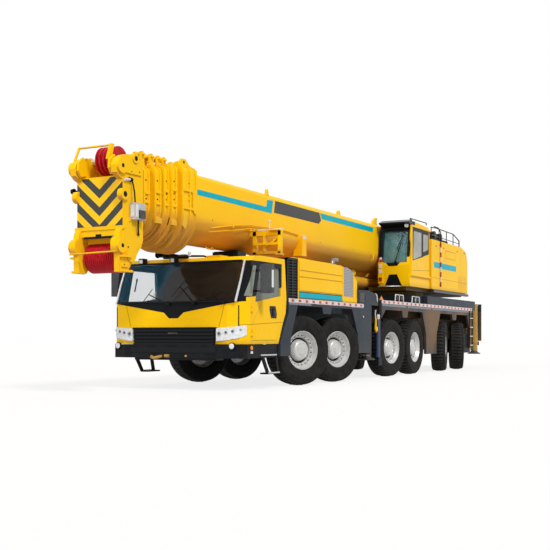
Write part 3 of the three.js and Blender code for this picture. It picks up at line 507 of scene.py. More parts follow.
class Shape:
    """Closed parts in one mesh, at the crane's stations. Each face keeps the number of its finish."""

    def __init__(self):
        self.corners, self.faces, self.tones, self.tone = [], [], [], 0

    def use(self, tone):
        self.tone = tone
        return self

    def add(self, corners, faces):
        base = len(self.corners)
        self.corners += [Vector(c) for c in corners]
        self.faces += [[base + i for i in face] for face in faces]
        self.tones += [self.tone] * len(faces)
        return self

    def loft(self, loops, ring=False):
        """Equal loops joined in order. A ring joins the last to the first, and otherwise the ends close."""
        n, count = len(loops[0]), len(loops)
        faces = []
        for i in range(count if ring else count - 1):
            a, b = i * n, (i + 1) % count * n
            faces += [(a + j, a + (j + 1) % n, b + (j + 1) % n, b + j) for j in range(n)]
        if not ring:
            faces += [tuple(reversed(range(n))), tuple(range((count - 1) * n, count * n))]
        return self.add([c for loop in loops for c in loop], faces)

    def box(self, x, y, z):
        (a, b), (c, d), (low, high) = sorted(x), sorted(y), sorted(z)
        return self.loft([[(a, c, t), (b, c, t), (b, d, t), (a, d, t)] for t in (low, high)])

    def prism(self, axis, outline, low, high):
        """A flat outline pushed along an axis: (y, z) points along x, (x, z) along y, (x, y) along z."""
        at = {"x": lambda a, b, t: (t, a, b), "y": lambda a, b, t: (a, t, b), "z": lambda a, b,
            t: (a, b, t)}[axis]
        return self.loft([[at(a, b, t) for a, b in outline] for t in (low, high)])

    def both(self, axis, outline, low, high):
        """The same prism on the left and on the right of the crane."""
        return self.prism(axis, outline, low, high).prism(axis, outline, -high, -low)

    def rod(self, start, end, radius, sides=12):
        return self.pipe([start, end], radius, sides)

    def pipe(self, points, radius, sides=8):
        """A round bar that follows points, mitred where it turns."""
        points = [Vector(p) for p in points]
        steps = [(b - a).normalized() for a, b in zip(points, points[1:])]
        ways = [steps[0]] + [(a + b).normalized() for a, b in zip(steps, steps[1:])] + [steps[-1]]
        first = steps[0].orthogonal().normalized()
        loops = []
        for i, (point, way) in enumerate(zip(points, ways)):
            first = (first - way * first.dot(way)).normalized()
            second = way.cross(first)
            spread = min(MITRE_LIMIT, 1.0 / max(0.5, way.dot(steps[max(0, i - 1)])))
            turns = [2 * math.pi * k / sides for k in range(sides)]
            loops.append([
                point + (first * math.cos(t) + second * math.sin(t)) * radius * spread for t in turns
            ])
        return self.loft(loops)

    def lathe(self, centre, profile, axis="y", sides=48, ring=False):
        """A profile of (along the axis, radius) points turned about an axis through the centre."""
        centre = Vector(centre)
        ways = {
            "x": ((1, 0, 0), (0, 1, 0), (0, 0, 1)), "y": ((0, 1, 0), (0, 0, 1), (1, 0, 0)),
            "z": ((0, 0, 1), (1, 0, 0), (0, 1, 0)),
        }
        along, first, second = (Vector(v) for v in ways[axis])
        turns = [2 * math.pi * (k + 0.5) / sides for k in range(sides)]
        loops = [
            [centre + along * a + (first * math.cos(t) + second * math.sin(t)) * r for t in turns]
            for a, r in profile
        ]
        return self.loft(loops, ring)

    def disc(self, centre, radius, length, axis="y", sides=24):
        return self.lathe(centre, [(-length / 2, radius), (length / 2, radius)], axis, sides)

    def take(self, mesh, matrix=None, tone=None):
        """Adds a ready mesh, moved by a matrix."""
        matrix = matrix or Matrix.Identity(4)
        kept, self.tone = self.tone, self.tone if tone is None else tone
        self.add([matrix @ v.co for v in mesh.vertices], [list(p.vertices) for p in mesh.polygons])
        self.tone = kept
        return self

    @contextmanager
    def on_both_sides(self):
        """What is added inside is added again on the crane's other side."""
        corner, face = len(self.corners), len(self.faces)
        yield self
        shift = len(self.corners) - corner
        self.corners += [Vector((c.x, -c.y, c.z)) for c in self.corners[corner:]]
        self.faces += [[i + shift for i in reversed(f)] for f in self.faces[face:]]
        self.tones += self.tones[face:]

    def moved(self, matrix):
        self.corners = [matrix @ c for c in self.corners]
        return self


SHARP_FOLD, SAME_POINT = math.radians(50), 1e-6


def finished_mesh(shape, name, finishes, bevel=0.0, smooth_below=38.0):
    mesh = bpy.data.meshes.new(name)
    mesh.from_pydata([c + Vector((STATION_ZERO, 0, 0)) for c in shape.corners], [], shape.faces)
    for finish in finishes:
        mesh.materials.append(finish.material)
    mesh.polygons.foreach_set("material_index", shape.tones)
    work = bmesh.new()
    work.from_mesh(mesh)
    bmesh.ops.remove_doubles(work, verts=work.verts, dist=SAME_POINT)
    bmesh.ops.recalc_face_normals(work, faces=work.faces)
    if bevel:
        folds = [e for e in work.edges if len(e.link_faces) == 2]
        sharp = [e for e in folds if e.calc_face_angle(0.0) > SHARP_FOLD]
        bmesh.ops.bevel(
            work, geom=sharp, offset=bevel, segments=2, affect="EDGES", clamp_overlap=True, material=-1
        )
    work.to_mesh(mesh)
    work.free()
    mesh.polygons.foreach_set("use_smooth", [True] * len(mesh.polygons))
    mesh.set_sharp_from_angle(angle=math.radians(smooth_below))
    return mesh


def piece(shape, name, body, finishes, bevel=0.0, stands_for=(), smooth_below=38.0):
    """Makes the shape a piece of the crane that rides on a body."""
    finishes = finishes if isinstance(finishes, (list, tuple)) else [finishes]
    made = bpy.data.objects.new(name, finished_mesh(shape, name, finishes, bevel, smooth_below))
    bpy.context.scene.collection.objects.link(made)
    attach(made, body)
    if stands_for:
        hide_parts(*stands_for)
    return made


# ---- repeats: one tree that sets copies in a row, and one that sets them in a ring ----
def repeat_tree(name, ring):
    tree = bpy.data.node_groups.new(name, "GeometryNodeTree")
    inputs = [("Tool", "NodeSocketObject"), ("Count", "NodeSocketInt"), ("Finish", "NodeSocketMaterial")]
    if ring:
        inputs += [("Radius", "NodeSocketFloat"), ("Turned", "NodeSocketFloat")]
    else:
        inputs += [("Step", "NodeSocketVector")]
    for label, kind in inputs:
        tree.interface.new_socket(label, in_out="INPUT", socket_type=kind)
    tree.interface.new_socket("Geometry", in_out="OUTPUT", socket_type="NodeSocketGeometry")
    add, link = tree.nodes.new, tree.links.new
    given, out = add("NodeGroupInput"), add("NodeGroupOutput")
    tool, place, real, dress = (
        add("GeometryNodeObjectInfo"), add("GeometryNodeInstanceOnPoints"),
        add("GeometryNodeRealizeInstances"), add("GeometryNodeSetMaterial"),
    )
    link(given.outputs["Tool"], tool.inputs["Object"])
    if ring:
        points = add("GeometryNodeMeshCircle")
        link(given.outputs["Count"], points.inputs["Vertices"])
        link(given.outputs["Radius"], points.inputs["Radius"])
        index, part, turn, spin = (
            add("GeometryNodeInputIndex"), add("ShaderNodeMath"),
            add("ShaderNodeMath"), add("ShaderNodeCombineXYZ"),
        )
        part.operation, turn.operation = "DIVIDE", "MULTIPLY_ADD"
        turn.inputs[1].default_value = 2 * math.pi
        link(index.outputs[0], part.inputs[0])
        link(given.outputs["Count"], part.inputs[1])
        link(part.outputs[0], turn.inputs[0])
        link(given.outputs["Turned"], turn.inputs[2])
        link(turn.outputs[0], spin.inputs["Z"])
        link(spin.outputs[0], place.inputs["Rotation"])
    else:
        points = add("GeometryNodeMeshLine")
        link(given.outputs["Count"], points.inputs["Count"])
        link(given.outputs["Step"], points.inputs["Offset"])
    link(points.outputs["Mesh"], place.inputs["Points"])
    link(tool.outputs["Geometry"], place.inputs["Instance"])
    link(place.outputs["Instances"], real.inputs["Geometry"])
    link(real.outputs["Geometry"], dress.inputs["Geometry"])
    link(given.outputs["Finish"], dress.inputs["Material"])
    link(dress.outputs["Geometry"], out.inputs[0])
    return tree


ROW, RING = repeat_tree("row_of_copies", False), repeat_tree("ring_of_copies", True)


def repeated(tree, tool, finish, **sizes):
    """Runs a repeat tree on a small shape and gives the plain mesh it grows, at the stations of its tool."""
    stamp = bpy.data.meshes.new("stamp")
    stamp.from_pydata(tool.corners, [], tool.faces)
    stamp_object = bpy.data.objects.new("stamp", stamp)
    carrier = bpy.data.objects.new("repeats", bpy.data.meshes.new("repeats"))
    for o in (stamp_object, carrier):
        bpy.context.scene.collection.objects.link(o)
    grow = carrier.modifiers.new("grow", "NODES")
    grow.node_group = tree
    values = {"Tool": stamp_object, "Finish": finish.material, **sizes}
    for item in tree.interface.items_tree:
        if item.in_out == "INPUT" and item.name in values:
            grow[item.identifier] = values[item.name]
    grown = bpy.data.meshes.new_from_object(carrier.evaluated_get(bpy.context.evaluated_depsgraph_get()))
    carrier.modifiers.remove(grow)
    for o in (carrier, stamp_object):
        bpy.data.objects.remove(o)
    return grown


def row(tool, count, step, finish=black):
    return repeated(ROW, tool, finish, Count=count, Step=step)


def ring(tool, count, radius, turned=0.0, finish=black):
    """A ring about Z through the tool's own origin, whose +X points outwards."""
    return repeated(RING, tool, finish, Count=count, Radius=radius, Turned=turned)


# ---- wheels ----
KINGPIN_Y, WHEEL_Y, WHEEL_Z = 1.0, 1.29, 0.72
AXLES = [(3.65, -23.5), (1.97, -19.2), (-1.20, -7.6), (-2.85, 0.8), (-5.45, 14.5), (-7.10, 19.5)]
ALONG_AXLE = Matrix.Rotation(math.radians(-90), 4, "X")


def wheel_shape():
    """A wheel about its own centre, its outer face towards +Y."""
    s = Shape()
    wall = [
        (-0.160, 0.388), (-0.188, 0.410), (-0.202, 0.450), (-0.204, 0.456), (-0.209,
            0.470), (-0.210, 0.560),
        (-0.212, 0.566), (-0.207, 0.580), (-0.202, 0.640), (-0.203, 0.650), (-0.192,
            0.678), (-0.172, 0.698),
    ]
    tread = wall + [(-a, r) for a, r in reversed(wall)]
    s.use(0).lathe((0, 0, 0), tread, sides=96, ring=True)
    shoulder = Shape().add(
        [(-0.024, -0.028, 0.062), (0.016, -0.024, 0.062), (0.016, 0.010, 0.062), (-0.024, 0.012, 0.062),
         (-0.040, -0.020, 0.182), (-0.012, -0.012, 0.176), (-0.010, 0.026, 0.176), (-0.040, 0.034, 0.182)],
        [(0, 1, 2, 3), (4, 5, 6, 7), (0, 1, 5, 4), (1, 2, 6, 5), (2, 3, 7, 6), (3, 0, 4, 7)],
    )
    block = Shape().add(
        [(-0.020, -0.020, 0.008), (0.016, -0.018, 0.008), (0.016, 0.014, 0.008), (-0.020, 0.014, 0.008),
         (-0.020, -0.004, 0.054), (0.016, -0.004, 0.054), (0.016, 0.028, 0.054), (-0.020, 0.028, 0.054)],
        [(0, 1, 2, 3), (4, 5, 6, 7), (0, 1, 5, 4), (1, 2, 6, 5), (2, 3, 7, 6), (3, 0, 4, 7)],
    )
    flip = Matrix.Rotation(math.radians(180), 4, "X")
    for tool, turned in ((shoulder, 0.0), (block, 0.03)):
        lugs = ring(tool, 46, 0.703, turned, lug_black)
        s.take(lugs, ALONG_AXLE, 1).take(lugs, ALONG_AXLE @ flip, 1)
    front = [
        (0.168, 0.399), (0.180, 0.394), (0.180, 0.384), (0.166, 0.376), (0.120, 0.356), (0.098,
            0.340), (0.098, 0.326),
        (0.084, 0.322), (0.078, 0.280), (0.062, 0.270), (0.026, 0.266), (0.020, 0.226), (0.060,
            0.214), (0.112, 0.196),
        (0.134, 0.176), (0.140, 0.150), (0.134, 0.144), (0.134, 0.100), (0.142, 0.094), (0.146,
            0.030), (0.146, 0.001),
    ]
    back = [(-0.03, 0.001), (-0.03, 0.10), (-0.03, 0.330), (-0.09, 0.352), (-0.150, 0.376), (-0.168, 0.399)]
    s.use(2).lathe((0, 0, 0), back + front, sides=72)
    nut = Shape().lathe((0, 0, 0.092), [(-0.02, 0.015), (0.006, 0.015), (0.012, 0.008)], "z", 6)
    s.take(ring(nut, 20, 0.302, 0.0, silver), ALONG_AXLE, 2)
    hole = Shape().disc((0, 0, 0.0825), 0.014, 0.006, "z", 10)
    s.take(ring(hole, 20, 0.302, 0.0, black), ALONG_AXLE @ Matrix.Rotation(math.pi / 20, 4, "Z"), 3)
    s.take(ring(Shape().disc((0, 0, 0.141), 0.010, 0.01, "z", 6), 10, 0.160, 0.0, silver), ALONG_AXLE, 2)
    # black ring in the hub's recess: a real groove, widened as painted shade of the recess
    groove = [(0.0215, 0.224), (0.0275, 0.2600), (0.0345, 0.2600), (0.0290, 0.222)]
    s.use(3).lathe((0, 0, 0), groove, sides=48, ring=True)
    s.use(2).rod((0.30, 0.09, 0.08), (0.33, 0.13, 0.09), 0.007, 6)
    return s


def set_wheels():
    pattern = finished_mesh(wheel_shape().moved(Matrix.Translation((-STATION_ZERO, 0, 0))), "wheel_pattern",
                            [tyre_black, lug_black, silver, black])
    for i, (station, steer) in enumerate(AXLES, 1):
        for side, sign in (("left", 1), ("right", -1)):
            name = f"wheel_{side}_{i}"
            mesh = pattern.copy()
            mesh.transform(
                Matrix.Translation((station + STATION_ZERO, sign * KINGPIN_Y, WHEEL_Z))
                @ Matrix.Rotation(math.radians(steer), 4, "Z")
                @ Matrix.Translation((0, sign * (WHEEL_Y - KINGPIN_Y), 0))
                @ Matrix.Rotation(0 if sign > 0 else math.pi, 4, "Z")
            )
            made = bpy.data.objects.new(f"tyre_and_rim_{side}_{i}", mesh)
            bpy.context.scene.collection.objects.link(made)
            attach(made, name)
            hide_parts(name)
    bpy.data.meshes.remove(pattern)


set_wheels()


# ---- boom ----
BOOM_HALF, BOOM_TOP, BOOM_LOW, BOOM_WALL = 0.54, 4.00, 2.75, 0.02
BOOM_STEP, BELLY, BELLY_STEP, CORNER = 0.042, 0.48, 0.031, 0.11
# the collar round the mouth of each section but the last: its ends, how proud it is, how far it hangs
COLLARS = [
    (6.57, 7.05, 0.080, 0.15), (7.16, 7.325, 0.085, 0.13), (7.337, 7.50, 0.080, 0.12), (7.53, 7.73,
        0.085, 0.11),
    (7.81, 7.99, 0.080, 0.09),
]
HEAD_REAR, BOARD_X = 8.045, 8.61


def boom_loop(x, n, margin, hang=0.0):
    """The outline of a section at one station: flat top, round corners, round belly."""
    shrink = n * BOOM_STEP - margin
    half, top, low = BOOM_HALF - shrink, BOOM_TOP - shrink, BOOM_LOW + shrink - hang
    belly = BELLY + margin - n * BELLY_STEP + hang

    def arc(y, z, ry, rz, first, last, steps):
        turns = [math.radians(first + (last - first) * k / steps) for k in range(steps + 1)]
        return [(x, y + ry * math.cos(t), z + rz * math.sin(t)) for t in turns]

    return (
        arc(half - CORNER, top - CORNER, CORNER, CORNER, 0, 90, 5)
        + arc(CORNER - half, top - CORNER, CORNER, CORNER, 90, 180, 5)
        + arc(0, low + belly, half, belly, 180, 360, 28)
    )


def boom_tube(s, x, outside, inside):
    """A hollow length; outside and inside are a section's number, its margin and how far it hangs."""
    outs = [boom_loop(at, *outside) for at in x]
    ins = [boom_loop(at, *inside) for at in x]
    return s.loft(outs + ins[::-1], ring=True)


def boom_section_shape(n):
    s = Shape()
    rear = -6.8 + (0.5 + 0.15 * n if n else 0.0)
    front = HEAD_REAR if n == 5 else COLLARS[n][0] + 0.01
    boom_tube(s, (rear, front), (n, 0.0), (n, -BOOM_WALL))
    if n < 5:
        low, high, proud, hang = COLLARS[n]
        boom_tube(s, (low, high), (n, proud - 0.022, hang - 0.02), (n + 1, 0.004))
        rims = [(low - 0.002, low + 0.045), (high - 0.045, high + 0.002)]
        if n == 0:
            rims += [(low + 0.20, low + 0.245)]
        for ends in rims:
            boom_tube(s, ends, (n, proud, hang), (n, proud - 0.035, hang - 0.033))
    return s


def collar_fittings(s, n):
    """Gussets, slots and bolts on one collar."""
    low, high, proud, _ = COLLARS[n]
    shrink = n * BOOM_STEP
    half, top = BOOM_HALF - shrink + proud, BOOM_TOP - shrink + proud
    middle = (low + high) / 2
    for y in (-0.32, 0.0, 0.32):
        s.use(0).box((low + 0.02, high - 0.02), (y - 0.05, y + 0.05), (top - 0.03, top + 0.012))
        s.use(1).box((middle - 0.03, middle + 0.03), (y - 0.03, y + 0.03), (top + 0.010, top + 0.016))
    for y in (-0.34, -0.20, 0.20, 0.34):
        ear = [(low + 0.02, top - 0.02), (high - 0.02, top - 0.02), (middle + 0.05, 4.17),
            (middle - 0.03, 4.19), (middle - 0.06, 4.13)]
        s.use(0).prism("y", ear, y - 0.014, y + 0.014)
    s.use(0).disc((middle, 0, 4.125), 0.022, 0.80, "y", 16)
    s.disc((middle, 0.27, 4.125), 0.045, 0.10, "y", 20).disc((middle, -0.27, 4.125), 0.045, 0.10, "y", 20)
    for side in (-1, 1):
        s.use(0).box((low + 0.01, high - 0.01), (side * (half - 0.03), side * (half + 0.006)),
            (3.60 - shrink, 3.66 - shrink))
        s.use(0).box((low + 0.01, high - 0.01), (side * (half - 0.03), side * (half + 0.006)), (3.28, 3.33))
        for z in (3.44, 3.54, 3.76):
            s.use(1).disc((middle, side * (half - 0.018), z - shrink * 0.5), 0.014, 0.014, "y", 10)
    return s


def set_boom():
    base = boom_section_shape(0)
    base.both("y", [(0.49, 2.87), (0.63, 2.39), (0.87, 2.39), (1.01, 2.87)], 0.19, 0.24)
    base.disc((-6.4, 0, 3.38), 0.11, 1.33, "y", 32)
    arm_x = (4.275, 4.385)
    base.box(arm_x, (0.42, 1.20), (3.03, 3.13)).box(arm_x, (1.13, 1.20), (2.66, 3.13))
    base.box(arm_x, (0.56, 1.20), (2.66, 2.71)).box(arm_x, (0.56, 0.64), (2.66, 3.13))
    base.prism("x", [(1.14, 3.03), (1.20, 3.03), (0.70, 2.66), (0.62, 2.66)], 4.295, 4.365)
    base.box((4.20, 4.46), (0.95, 1.19), (3.125, 3.150)).box((4.24, 4.42), (1.10, 1.21), (2.63, 2.67))
    base.box((4.27, 4.39), (0.80, 0.86), (2.70, 3.05)).box((4.385, 4.42), (0.60, 1.15), (2.84, 2.89))
    # lugs on the collar and along the top
    collar_lug = [(6.62, 4.0), (7.02, 4.0), (7.02, 4.12), (6.97, 4.19), (6.86, 4.19), (6.72, 4.09),
        (6.62, 4.07)]
    base.both("y", collar_lug, 0.50, 0.56)
    base.both("y", [(3.60, 3.96), (3.72, 3.96), (3.70, 4.09), (3.64, 4.09)], 0.47, 0.52)
    base.both("y", [(-0.22, 3.96), (-0.06, 3.96), (-0.08, 4.07), (-0.14, 4.10), (-0.20, 4.07)], 0.42, 0.48)
    base.both("y", [(-2.75, 3.96), (-2.35, 3.96), (-2.42, 4.10), (-2.60, 4.19), (-2.72, 4.19),
        (-2.66, 4.08)], 0.40, 0.46)
    # the rib on the side, the foot's stiffening cheeks and the weld-on eyes
    base.both("y", [(1.99, 2.80), (2.23, 2.80), (2.20, 3.23), (2.02, 3.23)], 0.40, 0.62)
    base.both("y", [(-6.75, 3.05), (-5.6, 3.05), (-5.3, 3.30), (-5.3, 3.55), (-6.0, 3.75), (-6.75, 3.75)],
        0.535, 0.56)
    for x in (5.9, 4.9, 3.1, 1.1, -0.9, -1.9):
        base.use(1).disc((x, 0.541, 3.20), 0.012, 0.006, "y", 8)
        base.disc((x, -0.541, 3.20), 0.012, 0.006, "y", 8)
    base.use(0)
    collar_fittings(base, 0)
    base.use(1).disc((6.92, 0.53, 4.13), 0.028, 0.064, "y", 16)
    base.disc((6.92, -0.53, 4.13), 0.028, 0.064, "y", 16)
    base.use(0).both("y", [(6.60, 3.62), (6.72, 3.62), (6.72, 3.30), (6.66, 3.22), (6.60, 3.22)], 0.60,
        0.628)
    base.use(0).both("y", [(6.90, 3.30), (7.02, 3.22), (7.02, 2.98), (6.93, 2.92), (6.86, 3.02)], 0.56,
        0.60)
    piece(base, "boom_base_tube", "boom_base", [boom_yellow, black], 0.006, ["boom_base"])
    for n in range(1, 5):
        s = collar_fittings(boom_section_shape(n), n)
        low, high = COLLARS[n][:2]
        if n in (1, 3):
            s.use(0).both("y", [(low, 2.96), (high, 2.96), (high, 3.10), (low, 3.05)], 0.46,
                0.60 - n * 0.03)
        piece(s, f"boom_tube_{n + 1}", f"boom_section_{n + 1}", [boom_yellow, black], 0.005,
              [f"boom_section_{n + 1}"])

    # the side stripe, its riser, and the bare dark plate between its two lengths
    stripe = Shape()
    with stripe.on_both_sides():
        y = (0.5385, 0.5435)
        stripe.prism("y", [(6.55, 3.71), (6.55, 3.61), (3.52, 3.60), (3.46, 3.88), (3.72, 3.86),
            (3.76, 3.71)], *y)
        stripe.prism("y", [(1.12, 3.885), (-2.22, 3.885), (-2.18, 3.755), (1.00, 3.755)], *y)
    piece(stripe, "boom_side_stripe", "boom_base", turquoise)
    plate = Shape()
    plate.both("y", [(3.36, 3.885), (3.42, 3.63), (1.18, 3.63), (1.06, 3.72), (1.16, 3.885)],
        0.5385, 0.5450)
    piece(plate, "boom_bare_plate", "boom_base", charcoal)

    # pipes, hoses and small fittings along the flank
    run = Shape()
    run.use(0).pipe([(5.9, 0.50, 3.05), (5.2, 0.565, 3.17), (4.5, 0.575, 3.25), (3.1, 0.57, 3.30),
        (2.3, 0.565, 3.26)], 0.014)
    run.use(0).pipe([(5.9, 0.46, 2.98), (5.0, 0.555, 3.10), (4.5, 0.57, 3.18), (3.1, 0.565, 3.22)], 0.011)
    run.use(1).pipe([(4.30, 0.90, 3.15), (4.30, 0.90, 3.32)], 0.012)
    run.rod((4.26, 0.62, 3.16), (4.26, 1.18, 3.16), 0.022)
    run.use(1).disc((4.30, 0.90, 3.33), 0.022, 0.04, "z", 12).box((2.03, 2.19), (0.60, 0.625), (3.18, 3.26))
    for x in (5.2, 4.5, 3.8, 3.1):
        run.use(0).box((x - 0.02, x + 0.02), (0.52, 0.59), (3.13, 3.19))
    for x in (5.55, 3.9, 0.4, -1.4):
        run.use(0).pipe([(x, 0.30, 2.72), (x, 0.34, 2.68), (x + 0.22, 0.34, 2.68), (x + 0.22, 0.30, 2.72)],
            0.010)
    run.use(2).pipe([(-2.05, 0.535, 3.18), (-2.05, 0.60, 3.16), (-2.05, 0.60, 3.02), (-2.05, 0.535, 3.00)],
        0.014)
    piece(run, "boom_flank_pipes", "boom_base", [boom_yellow, white, yellow])


set_boom()


# ---- boom head ----
LOWER_SHEAVE, UPPER_SHEAVE = (8.38, 2.325), (8.29, 3.97)


def set_head():
    s = boom_section_shape(5)
    plate = [
        (HEAD_REAR, 3.90), (HEAD_REAR, 2.62), (8.10, 2.50), (8.50, 2.06), (8.70, 2.06), (8.71,
            2.37), (8.78, 2.385),
        (8.80, 2.43), (8.80, 2.57), (8.77, 2.61), (8.71, 2.63), (8.70, 2.72), (BOARD_X,
            2.82), (BOARD_X, 3.59),
        (8.70, 3.62), (8.78, 3.68), (8.80, 3.80), (8.74, 3.91), (8.62, 3.98), (8.48, 4.02), (8.34, 3.99),
        (8.16, 3.98), (8.09, 3.94),
    ]
    s.both("y", plate, 0.365, 0.475)
    s.box((BOARD_X - 0.25, BOARD_X - 0.001), (-0.468, 0.468), (2.823, 3.657))
    s.box((HEAD_REAR - 0.003, HEAD_REAR + 0.04), (-0.467, 0.467), (2.90, 3.79))
    s.box((HEAD_REAR + 0.003, BOARD_X - 0.02), (-0.466, 0.466), (3.62, 3.654))
    # the lip under the board, the brow over the lower sheaves, and the doubler plates on the cheeks
    s.box((BOARD_X - 0.04, BOARD_X + 0.035), (-0.50, 0.50), (2.765, 2.825))
    s.box((BOARD_X - 0.10, BOARD_X + 0.02), (-0.40, 0.40), (2.66, 2.78))
    s.both("y", [(8.14, 2.98), (8.14, 2.58), (8.50, 2.14), (8.66, 2.14), (8.66, 2.60), (8.50, 2.98)], 0.472,
        0.50)
    s.both("y", [(8.12, 3.70), (8.56, 3.70), (8.66, 3.86), (8.46, 3.99), (8.22, 3.95), (8.12, 3.90)], 0.472,
        0.50)
    for side in (1, -1):
        for x, z, r in ((8.67, 2.49, 0.125), (8.66, 3.80, 0.13), (8.30, 3.97, 0.085), (8.42, 2.36, 0.13),
            (8.60, 3.34, 0.10)):
            s.use(0).disc((x, side * 0.470, z), r, 0.10, "y", 28)
        for x, z, r in ((8.67, 2.49, 0.038), (8.66, 3.80, 0.038), (8.60, 3.34, 0.052), (8.30, 3.97, 0.045)):
            s.use(1).disc((x, side * 0.518, z), r, 0.008, "y", 20)
        s.use(1).prism("y", [(8.455, 2.40), (8.495, 2.40), (8.515, 2.49), (8.475, 2.49)],
            *sorted((side * 0.499, side * 0.505)))
        s.use(0).box((8.40, 8.70), (side * 0.475, side * 0.53), (2.06, 2.10))
        s.box((8.46, 8.70), (side * 0.475, side * 0.56), (2.30, 2.33))
        for x, z in ((8.20, 2.90), (8.20, 2.70), (8.45, 2.90), (8.30, 2.35), (8.60, 2.18), (8.18, 3.76),
            (8.40, 3.74)):
            s.use(1).disc((x, side * 0.502, z), 0.012, 0.008, "y", 8)
    # the black strip above the lower sheaves, with its notch: painted shade of the mouth under the brow
    s.use(1).box((BOARD_X + 0.018, BOARD_X + 0.024), (-0.31, 0.27), (2.625, 2.665))
    s.use(1).box((BOARD_X + 0.018, BOARD_X + 0.024), (-0.07, 0.05), (2.66, 2.70))
    s.use(0).box((BOARD_X - 0.16, BOARD_X - 0.13), (-0.36, 0.36), (2.36, 2.66))
    # ears and arms over the top sheaves
    s.use(0).both("y", [(8.56, 3.70), (8.72, 3.66), (8.79, 3.76), (8.78, 3.90), (8.66, 4.00), (8.55, 3.92)],
        0.30, 0.345)
    s.use(0).rod((8.66, -0.52, 3.88), (8.60, -0.44, 4.17), 0.022)
    s.rod((8.60, -0.46, 4.17), (8.60, 0.24, 4.17), 0.018)
    s.use(0).prism("y", [(8.56, 4.19), (8.64, 4.19), (8.74, 3.92), (8.64, 3.90)], 0.22, 0.27)
    s.use(0).rod((8.78, -0.50, 2.37), (8.78, 0.46, 2.39), 0.014)
    piece(s, "boom_head_and_tube_6", "boom_section_6", [boom_yellow, black], 0.006,
        ["boom_section_6"])

    board = Shape().box((BOARD_X - 0.004, BOARD_X + 0.005), (-0.470, 0.470), (2.83, 3.645))
    piece(board, "striped_front_board", "boom_section_6", board_paint)

    fit = Shape()
    fit.use(0).rod((BOARD_X - 0.05, -0.47, 3.46), (BOARD_X - 0.05, -0.58, 3.46), 0.012)
    fit.use(0).lathe((BOARD_X - 0.05, -0.60, 3.46), [(-0.04, 0.02), (-0.03, 0.045), (0.03, 0.05),
        (0.04, 0.03)], "y", 20)
    fit.use(3).box((8.15, 8.43), (0.475, 0.60), (2.94, 3.22))
    fit.use(1).box((8.18, 8.34), (0.60, 0.63), (2.97, 3.10))
    fit.use(2).box((8.36, 8.43), (0.598, 0.612), (2.97, 3.19)).box((8.43, 8.44), (0.50, 0.58), (2.98, 3.18))
    fit.use(0).pipe([(8.30, 0.56, 2.96), (8.30, 0.56, 2.80), (8.24, 0.52, 2.70), (8.16, 0.48, 2.72)], 0.013)
    fit.use(0).pipe([(8.38, 0.56, 3.20), (8.42, 0.57, 3.40), (8.40, 0.52, 3.56), (8.46, 0.49, 3.64)], 0.012)
    fit.use(2).rod((8.50, 0.44, 3.68), (8.66, 0.44, 3.70), 0.030)
    fit.rod((8.44, 0.50, 3.60), (8.60, 0.50, 3.58), 0.022)
    fit.use(0).disc((8.42, 0.50, 3.60), 0.034, 0.06, "x", 12)
    piece(fit, "head_lamp_and_sensor", "boom_section_6", [black, machine_grey, white, sensor_grey],
        bevel=0.004)


def grooved(s, x, z, radius, half, grooves, depth):
    """A pack of rope grooves turned about a cross shaft."""
    pitch = 2 * half / grooves
    profile = [(-half, 0.062)]
    for k in range(grooves):
        start = -half + k * pitch
        profile += [
            (start + 0.001, radius), (start + pitch * 0.18, radius), (start + pitch * 0.42, radius - depth),
            (start + pitch * 0.62, radius - depth), (start + pitch * 0.84, radius),
        ]
    return s.lathe((x, 0, z), profile + [(half, radius), (half, 0.062)], sides=64)


def set_sheaves():
    low = grooved(Shape(), *LOWER_SHEAVE, 0.258, 0.31, 15, 0.020)
    low.use(1).disc((LOWER_SHEAVE[0], 0, LOWER_SHEAVE[1]), 0.06, 0.95)
    piece(low, "lower_rope_sheaves", "lower_sheaves", [red, steel], 0.0,
        ["lower_sheaves"], 30.0)
    high = grooved(Shape(), *UPPER_SHEAVE, 0.240, 0.165, 4, 0.050)
    high.use(1).disc((UPPER_SHEAVE[0], 0, UPPER_SHEAVE[1]), 0.06, 0.95)
    piece(high, "upper_rope_sheaves", "upper_sheaves", [red, steel], 0.0,
        ["upper_sheaves"], 30.0)


set_head()
set_sheaves()


